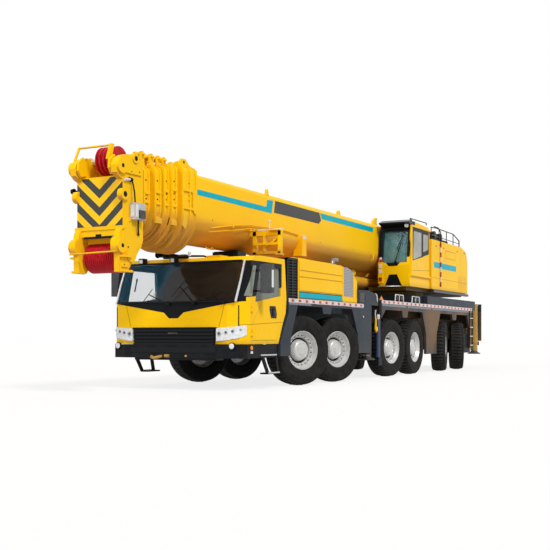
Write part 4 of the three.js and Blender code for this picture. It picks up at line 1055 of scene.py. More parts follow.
# ---- luffing cylinder, hoist drum and outriggers ----
def set_luffing():
    foot, eye = Vector((-4.6, 0, 2.455)), Vector((0.75, 0, 2.49))
    way = (eye - foot).normalized()
    reach = (eye - foot).length
    barrel = Shape().rod(foot + way * 0.17, foot + way * (reach - 0.33), 0.18, 40)
    barrel.rod(foot + way * (reach - 0.45), foot + way * (reach - 0.33), 0.205, 40)
    barrel.rod(foot + way * 0.17, foot + way * 0.26, 0.20, 40)
    barrel.rod(foot + way * 0.02, foot + way * 0.19, 0.12, 24)
    barrel.disc(foot, 0.14, 0.23, "y", 32).disc(foot, 0.07, 0.36, "y", 24)
    barrel.use(1).pipe([foot + way * 0.5 + Vector((0, 0.14, 0.14)),
        foot + way * 4.6 + Vector((0, 0.14, 0.14))], 0.014)
    barrel.use(1).box((-1.2, -0.95), (0.12, 0.22), (2.56, 2.64))
    piece(barrel, "luffing_barrel", "luffing_cylinder", [boom_yellow, steel], 0.003,
        ["luffing_cylinder"])
    rod = Shape().rod(foot + way * 0.35, eye, 0.13, 32).disc(eye, 0.14, 0.37, "y", 32)
    rod.use(1).disc(eye, 0.05, 0.374, "y", 24)
    piece(rod, "luffing_piston_rod", "luffing_rod", [steel, black], 0.0, ["luffing_rod"])
    drum = Shape()
    turns = [(-0.56, 0.10)]
    for k in range(44):
        start = -0.55 + k * 0.025
        turns += [(start, 0.228), (start + 0.006, 0.238), (start + 0.0125, 0.240), (start + 0.019, 0.238)]
    drum.use(1).lathe((-7.25, 0, 2.82), turns + [(0.551, 0.228), (0.56, 0.10)], sides=48)
    drum.use(0).disc((-7.25, 0.58, 2.82), 0.30, 0.04, "y", 48)
    drum.disc((-7.25, -0.58, 2.82), 0.30, 0.04, "y", 48)
    drum.use(0).disc((-7.25, 0, 2.82), 0.07, 1.52, "y", 24)
    piece(drum, "hoist_drum_and_rope", "hoist_drum", [machine_grey, steel], 0.002,
        ["hoist_drum"], 30.0)


def set_outriggers():
    for name, left_x, behind, top in (("front", 0.09, 0.24, 1.70), ("rear", -9.10, -0.24, 2.05)):
        for side, sign in (("left", 1), ("right", -1)):
            x = left_x if sign > 0 else left_x - behind
            body = f"outrigger_beam_{name}_{side}"
            # the rear sleeves take the golden brown, a painted reflection
            paint = grey if name == "front" else gold_and_reflection
            s = Shape().box((x - 0.10, x + 0.10), (-sign * 1.05, sign * 1.20), (0.8003, 1.222))
            wall = [(0.56, 0.095), (0.56, 0.120), (0.60, 0.120), (0.60, 0.112), (0.78, 0.112),
                (0.78, 0.120)]
            wall += [(top - 0.06, 0.120), (top - 0.06, 0.128), (top, 0.128), (top, 0.0), (top - 0.05, 0.0),
                (top - 0.05, 0.095)]
            wall = [(a, max(r, 0.001)) for a, r in wall]
            s.use(1).lathe((x, sign * 1.29, 0), wall, "z", 40, ring=True)
            s.use(1).box((x - 0.125, x + 0.125), (sign * 1.18, sign * 1.31), (0.80, 1.225))
            s.use(2).pipe([(x, sign * 1.42, 1.26), (x, sign * 1.432, 1.34), (x, sign * 1.432, top - 0.2),
                (x, sign * 1.40, top - 0.1)], 0.010)
            piece(s, f"beam_and_jack_sleeve_{name}_{side}", body, [grey, paint, black],
                0.004, [body])
            leg = Shape().disc((x, sign * 1.29, (0.48 + top - 0.12) / 2), 0.094, top - 0.60, "z", 40)
            leg.use(1).lathe((x, sign * 1.29, 0), [(0.44, 0.05), (0.44, 0.195), (0.45, 0.205),
                (0.468, 0.205), (0.48, 0.17), (0.50, 0.10), (0.50, 0.05)], "z", 40)
            leg.use(1).lathe((x, sign * 1.29, 0), [(0.48, 0.05), (0.48, 0.125), (0.55, 0.105),
                (0.55, 0.05)], "z", 32)
            foot = f"outrigger_jack_{name}_{side}"
            piece(leg, f"jack_leg_and_foot_{name}_{side}", foot, [steel, iron], 0.0, [foot])


set_luffing()
set_outriggers()


# ---- finishes of the solid parts ----
def dress(node, finish):
    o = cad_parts[node]
    for slot in o.material_slots:
        slot.material = finish.material
    if not o.material_slots:
        o.data.materials.append(finish.material)


NODE_FINISH = {
    "chassis_frame": grey, "frame_nose": black, "deck": grey, "intake_tower": black, "engine": iron,
    "engine_hood": yellow, "carrier_cab": cab_yellow, "front_bumper": black, "front_axle_pair": black,
    "middle_axle_pair": black, "rear_axle_pair": black, "slewing_platform": platform_finish_and_shade,
    "machinery_house": house_yellow, "operator_cab": op_yellow, "operator_door": op_yellow,
    "carrier_door_left": cab_yellow, "carrier_door_right": cab_yellow,
}
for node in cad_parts:
    dress(node, NODE_FINISH.get(node, black))


# ---- carrier cab ----
def corner_plate(s, points, lows, highs, out=0.012):
    """A plate that follows the cab's front corner: plan points, and its lower and upper edge at each."""
    loops = []
    for (x, y), low, high in zip(points, lows, highs):
        n = Vector((0.5 if abs(y) < 1.4 else 0.15, math.copysign(0.25 if abs(y) < 1.4 else 1.0, y),
            0)).normalized() * out
        back = -n * 1.5
        loops.append([(x + n.x, y + n.y, low), (x + n.x, y + n.y, high), (x + back.x, y + back.y, high),
            (x + back.x, y + back.y, low)])
    return s.loft(loops)


def set_carrier_cab():
    # windscreen: a pane inside its surround, leaning back
    pane = Shape().prism("y", [(6.385, 1.66), (6.391, 1.66), (6.071, 2.39), (6.065, 2.39)], -1.295, 1.295)
    piece(pane, "windscreen", "carrier", screen_glass)
    # fixed quarter panes, opaque, with a painted reflection
    quarter = Shape()
    with quarter.on_both_sides():
        quarter.prism("y", [(6.045, 1.74), (6.12, 1.74), (6.12, 2.035), (6.00, 2.31), (5.885, 2.31)],
            1.466, 1.4735)
        corner = [(6.12, 1.74), (6.25, 1.74), (6.12, 2.035)]
        quarter.loft([[(x, (1.4735 - out - (x - 6.12) * 0.43), z) for x,
            z in corner] for out in (0.0075, 0.0)])
    piece(quarter, "quarter_windows", "carrier", quarter_glass_painted_reflection)
    rear_pane = Shape().box((4.70, 4.706), (-0.91, 0.91), (1.79, 2.36))
    piece(rear_pane, "cab_rear_window", "carrier", rear_glass)
    for side, sign in (("left", 1), ("right", -1)):
        body = f"carrier_door_{side}"
        door_pane = Shape()
        door_pane.prism("y", [(4.88, 1.765), (5.95, 1.615), (6.02, 1.70), (5.80, 2.33), (4.92, 2.35)],
            *sorted((sign * 1.440, sign * 1.446)))
        piece(door_pane, f"door_window_{side}", body, side_glass if sign > 0 else clear_glass)
        mirror = Shape()
        mirror.prism("x", [(sign * 1.60, 1.84), (sign * 1.64, 1.80), (sign * 1.80, 1.80),
            (sign * 1.815, 1.86), (sign * 1.815, 2.27), (sign * 1.78, 2.34), (sign * 1.64, 2.34),
            (sign * 1.60, 2.30)], 5.83, 5.935)
        mirror.use(1).box((5.822, 5.831), (sign * 1.625, sign * 1.795), (1.98, 2.30))
        mirror.box((5.822, 5.831), (sign * 1.64, sign * 1.79), (1.83, 1.95))
        piece(mirror, f"mirror_{side}", body, [housing_grey, steel], bevel=0.018)
        pull = Shape()
        pull.prism("y", [(5.09, 1.35), (5.07, 1.42), (5.12, 1.58), (5.36, 1.58), (5.36, 1.50),
            (5.30, 1.35)], *sorted((sign * 1.4705, sign * 1.475)))
        pull.use(1).pipe([(5.20, sign * 1.472, 1.53), (5.20, sign * 1.50, 1.52), (5.20, sign * 1.50, 1.41),
            (5.20, sign * 1.472, 1.40)], 0.011)
        piece(pull, f"door_handle_{side}", body, [trim, housing_grey])
        inner = Shape().box((5.10, 5.95), (sign * 1.395, sign * 1.409), (1.05, 1.55))
        inner.use(1).rod((5.30, sign * 1.385, 1.58), (5.75, sign * 1.385, 1.55), 0.016)
        piece(inner, f"door_lining_{side}", body, [seat_cloth, trim], bevel=0.003)

    # screen frame, pillars, wipers and the visor lamps
    s = Shape()
    for sign in (1, -1):
        s.use(3).pipe([(6.405, sign * 1.330, 1.63), (6.24, sign * 1.340, 2.01),
            (6.070, sign * 1.330, 2.40)], 0.024, 8)
        s.use(0).pipe([(6.415, sign * 1.18, 1.645), (6.40, sign * 1.30, 1.655)], 0.018)
    s.use(0).rod((6.415, -1.20, 1.645), (6.425, 1.20, 1.645), 0.016)
    s.rod((6.07, -1.28, 2.40), (6.07, 1.28, 2.40), 0.020)
    for y0, z0, y1, z1 in ((-0.10, 1.60, -0.60, 1.80), (0.46, 1.61, 0.08, 1.93), (1.10, 1.62, 0.86, 1.80)):
        x0, x1 = 6.44, 6.412 - (z1 - 1.66) * 0.438 + 0.02
        s.use(0).pipe([(x0, y0, z0), (x1, y1, z1)], 0.010)
        s.use(0).pipe([(x0 - 0.02, y0 * 0.4 + y1 * 0.6 - 0.28, (z0 + z1) / 2 - 0.03),
            (x1 + 0.01, y1 + 0.10, z1 + 0.10)], 0.007)
        s.use(0).disc((x0, y0, z0), 0.026, 0.04, "x", 12)
    for y in (-0.93, -0.20):
        s.use(0).box((6.02, 6.16), (y - 0.055, y + 0.055), (2.40, 2.51))
        s.use(2).box((6.155, 6.166), (y - 0.040, y + 0.040), (2.415, 2.485))
    piece(s, "screen_frame_and_wipers", "carrier", [trim, machine_grey, lamp_white, steel], bevel=0.003)

    # headlights and grille slats
    s = Shape()
    with s.on_both_sides():
        plan = [(6.421, 0.93), (6.412, 1.02), (6.400, 1.15), (6.368, 1.27), (6.330, 1.38), (6.26, 1.41),
            (6.20, 1.437)]
        lows = [0.915, 0.922, 0.935, 0.955, 0.975, 1.00, 1.03]
        highs = [1.15, 1.158, 1.168, 1.178, 1.19, 1.20, 1.208]
        corner_plate(s.use(0), plan, lows, highs, 0.014)
        for x, y, z, r in ((6.418, 1.00, 1.055, 0.045), (6.402, 1.135, 1.075, 0.034),
            (6.365, 1.25, 1.095, 0.045), (6.315, 1.38, 1.12, 0.030)):
            s.use(1).lathe((x, y, z), [(-0.02, r), (0.020, r), (0.024, r * 0.8), (0.018, r * 0.7),
                (0.018, 0.004)], "x", 20)
            s.use(2).lathe((x, y, z), [(0.0, r * 0.5), (0.026, r * 0.5), (0.030, r * 0.2)], "x", 16)
    piece(s, "headlights", "carrier", [lamp_white, sensor_grey, machine_grey], bevel=0.002)
    s = Shape()
    slat = Shape().box((6.395, 6.445), (-0.90, 0.90), (0.895, 0.935))
    s.take(row(slat, 4, (0, 0, 0.066), trim), tone=0)
    s.box((6.40, 6.440), (-0.93, 0.93), (1.148, 1.172)).box((6.40, 6.455), (-0.90, 0.90), (0.84, 0.885))
    s.use(1).box((6.44, 6.452), (-0.11, 0.11), (1.05, 1.075))
    piece(s, "front_grille", "carrier", [trim, machine_grey], bevel=0.006)

    # bumper fittings: fog lamps, markers, tow coupling, plate panel
    s = Shape()
    with s.on_both_sides():
        s.use(1).lathe((6.40, 1.27, 0.825), [(0.0, 0.055), (0.045, 0.055), (0.05, 0.045), (0.05, 0.004)],
            "x", 20)
        s.use(0).lathe((6.40, 1.27, 0.825), [(0.0, 0.066), (0.04, 0.066), (0.045, 0.056)], "x", 20)
        s.use(2).lathe((6.04, 1.458, 0.79), [(0.0, 0.045), (0.012, 0.040), (0.016, 0.004)], "y", 18)
        s.use(1).box((6.00, 6.08), (1.456, 1.468), (0.685, 0.73))
    s.use(0).box((6.44, 6.462), (-0.95, 0.95), (0.70, 0.80)).box((6.10, 6.40), (-0.90, 0.90), (0.56, 0.62))
    s.use(3).pipe([(6.38, -0.50, 0.64), (6.48, -0.46, 0.62), (6.52, -0.38, 0.60), (6.50, -0.28, 0.62),
        (6.40, -0.24, 0.64)], 0.026, 10)
    s.use(3).disc((6.46, -0.12, 0.64), 0.030, 0.10, "y", 12).disc((6.44, 0.30, 0.64), 0.022, 0.06, "x", 12)
    piece(s, "bumper_lamps_and_hook", "carrier", [trim, lamp_white, amber, gold_and_reflection], bevel=0.003)

    # entry steps hung behind the bumper wings
    s = Shape()
    with s.on_both_sides():
        y = (1.30, 1.47)
        s.use(1).box((5.10, 5.74), (1.44, 1.495), (0.640, 0.665))
        s.use(0).box((5.10, 5.72), y, (0.605, 0.645))
        s.use(0).prism("y", [(5.66, 0.62), (5.56, 0.62), (5.36, 0.31), (5.44, 0.31)], 1.43, 1.47)
        s.use(0).prism("y", [(5.12, 0.62), (5.04, 0.62), (4.96, 0.31), (5.04, 0.31)], 1.43, 1.47)
        s.use(0).box((4.97, 5.43), y, (0.285, 0.315))
        s.use(1).box((4.97, 5.42), (1.462, 1.49), (0.300, 0.325))
    piece(s, "entry_steps", "carrier", [black, steel], bevel=0.004)

    # inside: dash, wheel, seats
    s = Shape()
    s.use(0).prism("y", [(6.34, 1.0), (6.34, 1.58), (6.05, 1.62), (5.88, 1.50), (5.92, 1.0)], -1.38, 1.38)
    for y in (0.72, -0.72):
        s.use(1).prism("y", [(5.05, 1.25), (5.55, 1.30), (5.55, 1.42), (5.10, 1.40)], y - 0.24, y + 0.24)
        s.use(1).prism("y", [(4.98, 1.38), (5.10, 1.38), (4.98, 2.02), (4.86, 2.00)], y - 0.23, y + 0.23)
        s.use(1).prism("y", [(4.87, 2.06), (4.97, 2.06), (4.94, 2.22), (4.86, 2.20)], y - 0.13, y + 0.13)
        s.use(0).box((5.10, 5.45), (y - 0.20, y + 0.20), (0.94, 1.27))
    s.use(0).pipe([(5.95, 0.72, 1.48), (5.80, 0.72, 1.60)], 0.035)
    rim = [Vector((5.78 + 0.12 * math.sin(t), 0.72 + 0.22 * math.cos(t),
        1.64 + 0.19 * math.sin(t))) for t in
           [2 * math.pi * k / 20 for k in range(21)]]
    s.use(0).pipe(rim, 0.014)
    s.use(2).pipe([(6.20, -1.05, 1.86), (6.16, -1.05, 1.98), (6.12, -1.05, 2.10), (6.16, -1.02, 2.12)],
        0.014)
    piece(s, "cab_inside", "carrier", [trim, seat_cloth, machine_grey], bevel=0.012)

    # air horns and the pipework on the roof
    s = Shape()
    s.use(0).lathe((5.25, -0.55, 2.60), [(0.0, 0.03), (0.55, 0.028), (0.72, 0.05), (0.80, 0.075),
        (0.80, 0.06), (0.0, 0.02)], "x", 16)
    s.use(0).lathe((5.25, -0.75, 2.60), [(0.0, 0.03), (0.40, 0.028), (0.52, 0.045), (0.60, 0.07),
        (0.60, 0.055), (0.0, 0.02)], "x", 16)
    s.use(0).box((5.20, 5.32), (-0.85, -0.45), (2.51, 2.64)).box((5.80, 5.86), (-0.62, -0.48), (2.51, 2.58))
    s.use(0).pipe([(5.0, 0.1, 2.53), (5.6, 0.15, 2.56), (5.9, 0.05, 2.54), (5.95, -0.2, 2.53)], 0.018)
    s.use(1).box((5.45, 5.75), (0.30, 0.62), (2.51, 2.55))
    s.use(2).disc((6.10, 0.15, 2.56), 0.03, 0.08, "z", 12)
    piece(s, "roof_horns", "carrier", [trim, yellow, lamp_white], bevel=0.003)


# ---- hood, intake tower and deck ----
def reflector_band(s, x0, x1, z, count):
    """A pale band with red squares along both edges of the deck."""
    pitch = (x1 - x0) / count
    with s.on_both_sides():
        s.use(0).box((x0, x1), (1.499, 1.504), (z - 0.040, z + 0.040))
        square = Shape().box((x0 + pitch * 0.30, x0 + pitch * 0.62), (1.503, 1.508), (z - 0.024, z + 0.024))
        s.take(row(square, count, (pitch, 0, 0), dark_red), tone=1)


def set_carrier_body():
    s = Shape()
    with s.on_both_sides():
        y = (1.445, 1.468)
        for low, high in ((2.345, 2.52), (2.215, 2.325), (1.935, 2.195)):
            s.use(0).box((1.93, 4.06), y, (low, high))
        s.use(0).box((1.25, 1.30), y, (1.88, 2.44)).box((1.86, 1.92), y, (1.80, 2.55))
        s.box((1.07, 1.92), (1.445, 1.460), (1.775, 1.885))
    s.use(0).box((1.30, 4.02), (-1.30, -0.50), (2.57, 2.605)).box((1.90, 4.02), (0.50, 1.30), (2.585, 2.61))
    s.use(1)
    for y0, y1 in ((-1.1, -0.6), (0.6, 1.1)):
        slot_shape = Shape().box((2.30, 2.33), (y0, y1), (2.606, 2.614))
        s.take(row(slot_shape, 16, (0.09, 0, 0), black), tone=1)
    piece(s, "hood_ribs_and_lids", "carrier", [yellow, black], 0.012)
    s = Shape()
    with s.on_both_sides():
        s.use(2).box((1.84, 4.065), (1.447, 1.4515), (1.770, 1.912))
        s.use(0).box((1.86, 4.06), (1.449, 1.4535), (1.785, 1.895))
        s.use(1).prism("y", [(1.31, 1.90), (1.85, 1.90), (1.85, 2.545), (1.60, 2.545), (1.31, 2.46)],
            1.449, 1.458)
    piece(s, "hood_stripe_and_mesh", "carrier", [turquoise, mesh_sheet, black])
    s = Shape()
    s.use(0).pipe([(2.12, 1.30, 2.50), (2.12, 1.30, 2.62), (2.05, 1.30, 2.69), (1.86, 1.30, 2.70)], 0.050,
        20)
    s.use(0).lathe((2.12, 1.30, 0), [(2.56, 0.075), (2.60, 0.075), (2.60, 0.05), (2.56, 0.05)], "z",
        20, ring=True)
    piece(s, "exhaust_elbow", "carrier", [scorched])

    # intake tower: louvres on its sides, a screen in the top, clamps on the boom rest
    s = Shape()
    with s.on_both_sides():
        blade = Shape().prism("y", [(4.16, 1.80), (4.57, 1.80), (4.57, 1.815), (4.16, 1.835)], 1.425, 1.452)
        s.take(row(blade, 13, (0, 0, 0.056), trim), tone=0)
        s.use(0).box((4.13, 4.17), (1.42, 1.458), (1.755, 2.56))
        s.box((4.56, 4.60), (1.42, 1.458), (1.755, 2.56))
        s.use(0).box((4.13, 4.60), (1.42, 1.458), (2.52, 2.565))
        s.box((4.34, 4.38), (1.42, 1.455), (1.78, 2.55))
    s.use(1).box((4.25, 4.50), (-0.24, 0.24), (2.700, 2.742))
    s.use(0).box((4.20, 4.54), (-0.30, -0.25), (2.56, 2.735)).box((4.20, 4.54), (0.25, 0.30), (2.56, 2.735))
    piece(s, "tower_louvres", "carrier", [trim, lug_black], bevel=0.003)

    # deck edge bands, side boxes and the covers over the front jacks
    s = Shape()
    reflector_band(s, 0.78, 4.62, 1.715, 12)
    reflector_band(s, -8.12, -0.37, 1.848, 24)
    with s.on_both_sides():
        for x0, x1 in ((-8.12, -4.2), (-4.1, -2.2), (-2.1, -0.40)):
            s.use(2).box((x0, x1), (1.499, 1.506), (1.745, 1.798))
        s.use(2).box((0.80, 1.50), (1.499, 1.504), (1.655, 1.672))
        s.box((3.6, 4.60), (1.499, 1.504), (1.63, 1.672))
    piece(s, "deck_edge_bands", "carrier", [pale, dark_red, edge_grey])
    s = Shape()
    for sign in (1, -1):
        cover = [(1.055, 1.755), (1.055, 2.075), (0.45, 2.085), (0.02, 2.03), (-0.13, 1.93), (-0.17, 1.74)]
        s.use(0).prism("y", cover, *sorted((sign * 0.92, sign * 1.490)))
        s.use(0).prism("y", [(1.06, 1.76), (0.56, 1.76), (0.56, 1.42), (0.64, 1.28), (0.98, 0.70),
            (1.06, 0.70)], *sorted((sign * 1.44, sign * 1.502)))
        s.use(2).box((0.72, 0.98), (sign * 1.489, sign * 1.496), (1.80, 2.02))
        s.use(2).box((0.60, 0.64), (sign * 1.489, sign * 1.50), (1.86, 1.96))
        s.use(1).rod((0.80, sign * 1.50, 1.46), (0.80, sign * 1.512, 1.46), 0.022).pipe(
            [(-0.02, sign * 1.47, 2.03), (-0.05, sign * 1.50, 1.98), (-0.07, sign * 1.50, 1.88),
                (-0.12, sign * 1.48, 1.84)], 0.016)
        s.use(3).box((0.50, 0.56), (sign * 1.40, sign * 1.47), (0.62, 1.36))
        s.box((0.36, 0.56), (sign * 1.38, sign * 1.44), (1.00, 1.34))
    piece(s, "side_boxes_and_jack_covers", "carrier", [grey, lamp_white, machine_grey, gold_and_reflection],
        0.008)

    # the slim column, hook and shackle in the gap behind the front jack, and its foot block
    s = Shape()
    for sign in (1, -1):
        x = -0.30 if sign > 0 else -0.52
        y = sign * 1.43
        s.use(0).lathe((x, y, 0), [(0.50, 0.055), (1.42, 0.055), (1.43, 0.048)], "z", 24)
        s.use(1).lathe((x, y, 0), [(1.42, 0.046), (1.52, 0.046), (1.535, 0.036)], "z", 20)
        s.use(2).box((x - 0.13, x + 0.11), (sign * 1.30, sign * 1.49), (0.30, 0.50))
        s.box((x - 0.05, x + 0.05), (sign * 1.10, sign * 1.40), (0.42, 0.50))
        s.use(2).box((x - 0.06, x + 0.05), (sign * 1.37, sign * 1.42), (0.50, 1.80))
        hook = [(x + 0.16, y, 1.44), (x + 0.15, y, 1.30), (x + 0.17, y, 1.20), (x + 0.13, y, 1.12),
            (x + 0.08, y, 1.16), (x + 0.09, y, 1.24)]
        s.use(3).pipe(hook, 0.024, 10)
        s.use(1).pipe([(x + 0.15, y, 1.64), (x + 0.18, y, 1.54), (x + 0.16, y, 1.44)], 0.014)
    piece(s, "side_columns_and_hooks", "carrier", [column_blue, white, black, yellow], bevel=0.004)

    # lamps and guards on the deck edge ahead of the turntable
    s = Shape()
    for sign in (1, -1):
        for x in (-1.70, -2.95):
            loop = [(x + 0.30, 1.89), (x + 0.27, 2.06), (x - 0.27, 2.06), (x - 0.30, 1.89)]
            s.use(0).pipe([(a, sign * 1.46, z) for a, z in loop], 0.014)
            s.use(0).pipe([(x, sign * 1.46, 2.06), (x, sign * 1.46, 1.89)], 0.012)
            for dx in (-0.13, 0.13):
                s.use(1).lathe((x + dx, sign * 1.44, 1.975), [(-0.04, 0.05), (sign * 0.02, 0.06),
                    (sign * 0.03, 0.05), (sign * 0.03, 0.004)], "y", 16)
        s.use(2).lathe((-0.60, sign * 1.40, 0), [(1.89, 0.05), (1.91, 0.05), (1.98, 0.012), (2.00, 0.006)],
            "z", 16)
    piece(s, "deck_lamps_and_guards", "carrier", [white, trim, amber])

    # ladder at the rear corner, and the box inboard of it
    s = Shape()
    with s.on_both_sides():
        for x in (-7.84, -8.14):
            s.use(0).box((x - 0.02, x + 0.02), (1.49, 1.525), (0.66, 1.80))
        rung = Shape().box((-8.14, -7.84), (1.50, 1.535), (0.715, 0.745))
        s.take(row(rung, 4, (0, 0, 0.28), white), tone=1)
        s.use(0).box((-8.13, -7.30), (1.36, 1.44), (0.50, 1.10))
    piece(s, "rear_ladders", "carrier", [black, white], bevel=0.004)

    # tail: lamp bar and coupling hung under the tail plate
    s = Shape()
    s.use(0).box((-9.300, -9.255), (-1.40, 1.40), (0.72, 0.845))
    with s.on_both_sides():
        for tone, near, far in ((1, 1.04, 1.26), (2, 1.27, 1.36), (3, 0.92, 1.03)):
            s.use(tone).box((-9.322, -9.30), (near, far), (0.735, 0.825))
    s.use(4).box((-9.318, -9.30), (-0.85, -0.45), (0.735, 0.825))
    s.use(0).box((-9.30, -9.20), (-0.16, 0.16), (0.62, 0.845))
    s.lathe((-9.272, 0, 0.66), [(-0.02, 0.06), (0.04, 0.06), (0.04, 0.03), (-0.02, 0.03)], "z",
        20, ring=True)
    piece(s, "tail_lamps_and_coupling", "carrier", [black, dark_red, amber, lamp_white, white], bevel=0.004)


set_carrier_cab()
set_carrier_body()


# ---- operator cab and machinery house ----
def set_operator_cab():
    # front screen, leaning a little, and the long side window in two panes
    s = Shape().prism("y", [(-2.542, 2.90), (-2.536, 2.90), (-2.655, 3.86), (-2.661, 3.86)], 0.69, 1.42)
    piece(s, "operator_screen", "superstructure", teal_glass)
    s = Shape()
    s.prism("y", [(-3.56, 3.28), (-3.95, 3.35), (-4.05, 3.44), (-4.05, 3.78), (-3.98, 3.82), (-3.56, 3.82)],
        1.434, 1.440)
    piece(s, "operator_rear_side_window", "superstructure", pale_glass)
    s = Shape()
    s.prism("y", [(-3.52, 3.13), (-4.06, 3.13), (-4.06, 3.46), (-3.95, 3.37), (-3.52, 3.29)], 1.400, 1.4405)
    piece(s, "operator_side_sill", "superstructure", op_yellow)
    s = Shape().prism("y", [(-2.66, 3.03), (-3.42, 3.17), (-3.42, 3.83), (-2.69, 3.83)], 1.470, 1.476)
    piece(s, "operator_door_window", "operator_door", pale_glass)
    s = Shape().prism("y", [(-2.80, 3.20), (-4.10, 3.30), (-4.10, 3.85), (-2.82, 3.82)], 0.585, 0.591)
    piece(s, "operator_inner_window", "superstructure", side_glass)
    s = Shape()
    s.use(0).prism("y", [(-2.95, 2.79), (-3.03, 2.81), (-3.03, 2.99), (-2.95, 2.97)], 1.478, 1.484)
    s.use(1).rod((-2.99, 1.492, 2.96), (-2.99, 1.492, 2.83), 0.012)
    piece(s, "operator_door_handle", "operator_door", [trim, steel])

    s = Shape()
    # screen frame, wiper, visor, roof rails
    s.use(0).pipe([(-2.515, 0.68, 3.12), (-2.64, 0.68, 3.88), (-2.64, 1.43, 3.88), (-2.515, 1.43, 3.12)],
        0.020)
    s.use(0).pipe([(-2.47, 1.06, 2.98), (-2.55, 1.20, 3.50)], 0.014)
    s.pipe([(-2.53, 1.08, 3.30), (-2.60, 1.27, 3.76)], 0.010)
    s.use(0).disc((-2.48, 1.06, 2.97), 0.035, 0.05, "x", 14)
    s.use(0).prism("y", [(-2.62, 3.93), (-2.40, 3.99), (-2.40, 4.02), (-2.66, 4.10), (-2.70, 4.04)], 0.62,
        1.46)
    s.use(0).pipe([(-2.75, 1.38, 4.09), (-2.75, 1.38, 4.14), (-4.05, 1.38, 4.15), (-4.05, 1.38, 4.09)],
        0.014)
    s.use(0).box((-3.9, -3.0), (0.75, 1.25), (4.06, 4.10))
    # foot rail
    s.use(1).pipe([(-2.56, 0.58, 2.33), (-2.44, 0.60, 2.33), (-2.42, 0.66, 2.33), (-2.42, 1.12, 2.33),
        (-2.46, 1.18, 2.33), (-2.56, 1.20, 2.33)], 0.018)
    # lamp strip on the inner edge of the front
    s.use(6).box((-2.58, -2.50), (0.56, 0.695), (2.42, 2.98))
    for z, tone in ((2.875, 3), (2.735, 3), (2.53, 4)):
        s.use(tone).box((-2.502, -2.488), (0.585, 0.672), (z - 0.052, z + 0.052))
    s.use(4).lathe((-2.54, 0.63, 0), [(2.98, 0.045), (3.05, 0.045), (3.07, 0.03)], "z", 16)
    s.use(3).lathe((-2.54, 0.63, 0), [(3.055, 0.035), (3.10, 0.035), (3.12, 0.02)], "z", 16)
    s.use(3).lathe((-2.56, 1.36, 3.93), [(0.0, 0.05), (0.06, 0.055), (0.07, 0.04)], "x", 16)
    # the arm of the inner mirror beside the boom
    s.use(5).pipe([(-2.66, 0.62, 3.70), (-2.45, 0.58, 3.78), (-2.40, 0.585, 3.86)], 0.012)
    piece(s, "operator_cab_fittings", "superstructure", [trim, steel, housing_grey, lamp_white, dark_red,
        machine_grey, yellow], bevel=0.003)

    # inside: seat, consoles, levers, pedals
    s = Shape()
    s.use(0).prism("y", [(-3.60, 2.74), (-3.10, 2.80), (-3.10, 2.92), (-3.58, 2.90)], 0.76, 1.24)
    s.use(0).prism("y", [(-3.66, 2.86), (-3.54, 2.88), (-3.66, 3.52), (-3.78, 3.50)], 0.78, 1.22)
    s.use(3).prism("y", [(-3.77, 3.56), (-3.64, 3.57), (-3.66, 3.76), (-3.78, 3.75)], 0.90, 1.10)
    s.use(1).box((-3.50, -3.20), (0.85, 1.15), (2.37, 2.75))
    for y in (0.68, 1.32):
        s.use(1).prism("y", [(-3.50, 2.94), (-2.98, 2.98), (-2.95, 3.06), (-3.50, 3.04)],
            y - 0.055, y + 0.055)
        s.use(1).rod((-3.03, y, 3.05), (-3.00, y, 3.20), 0.014)
        s.lathe((-3.0, y, 3.22), [(-0.035, 0.02), (0, 0.028), (0.035, 0.015)], "z", 12)
    s.use(1).prism("y", [(-2.62, 2.44), (-2.80, 2.44), (-2.78, 2.80), (-2.66, 2.86)], 0.85, 1.16)
    s.use(2).prism("y", [(-2.75, 3.02), (-2.72, 3.02), (-2.76, 3.24), (-2.79, 3.24)], 0.72, 0.98)
    s.use(1).rod((-2.74, 0.85, 2.80), (-2.75, 0.85, 3.04), 0.015)
    piece(s, "operator_seat_and_controls", "superstructure", [seat_cloth, trim, machine_grey, white],
        bevel=0.015)


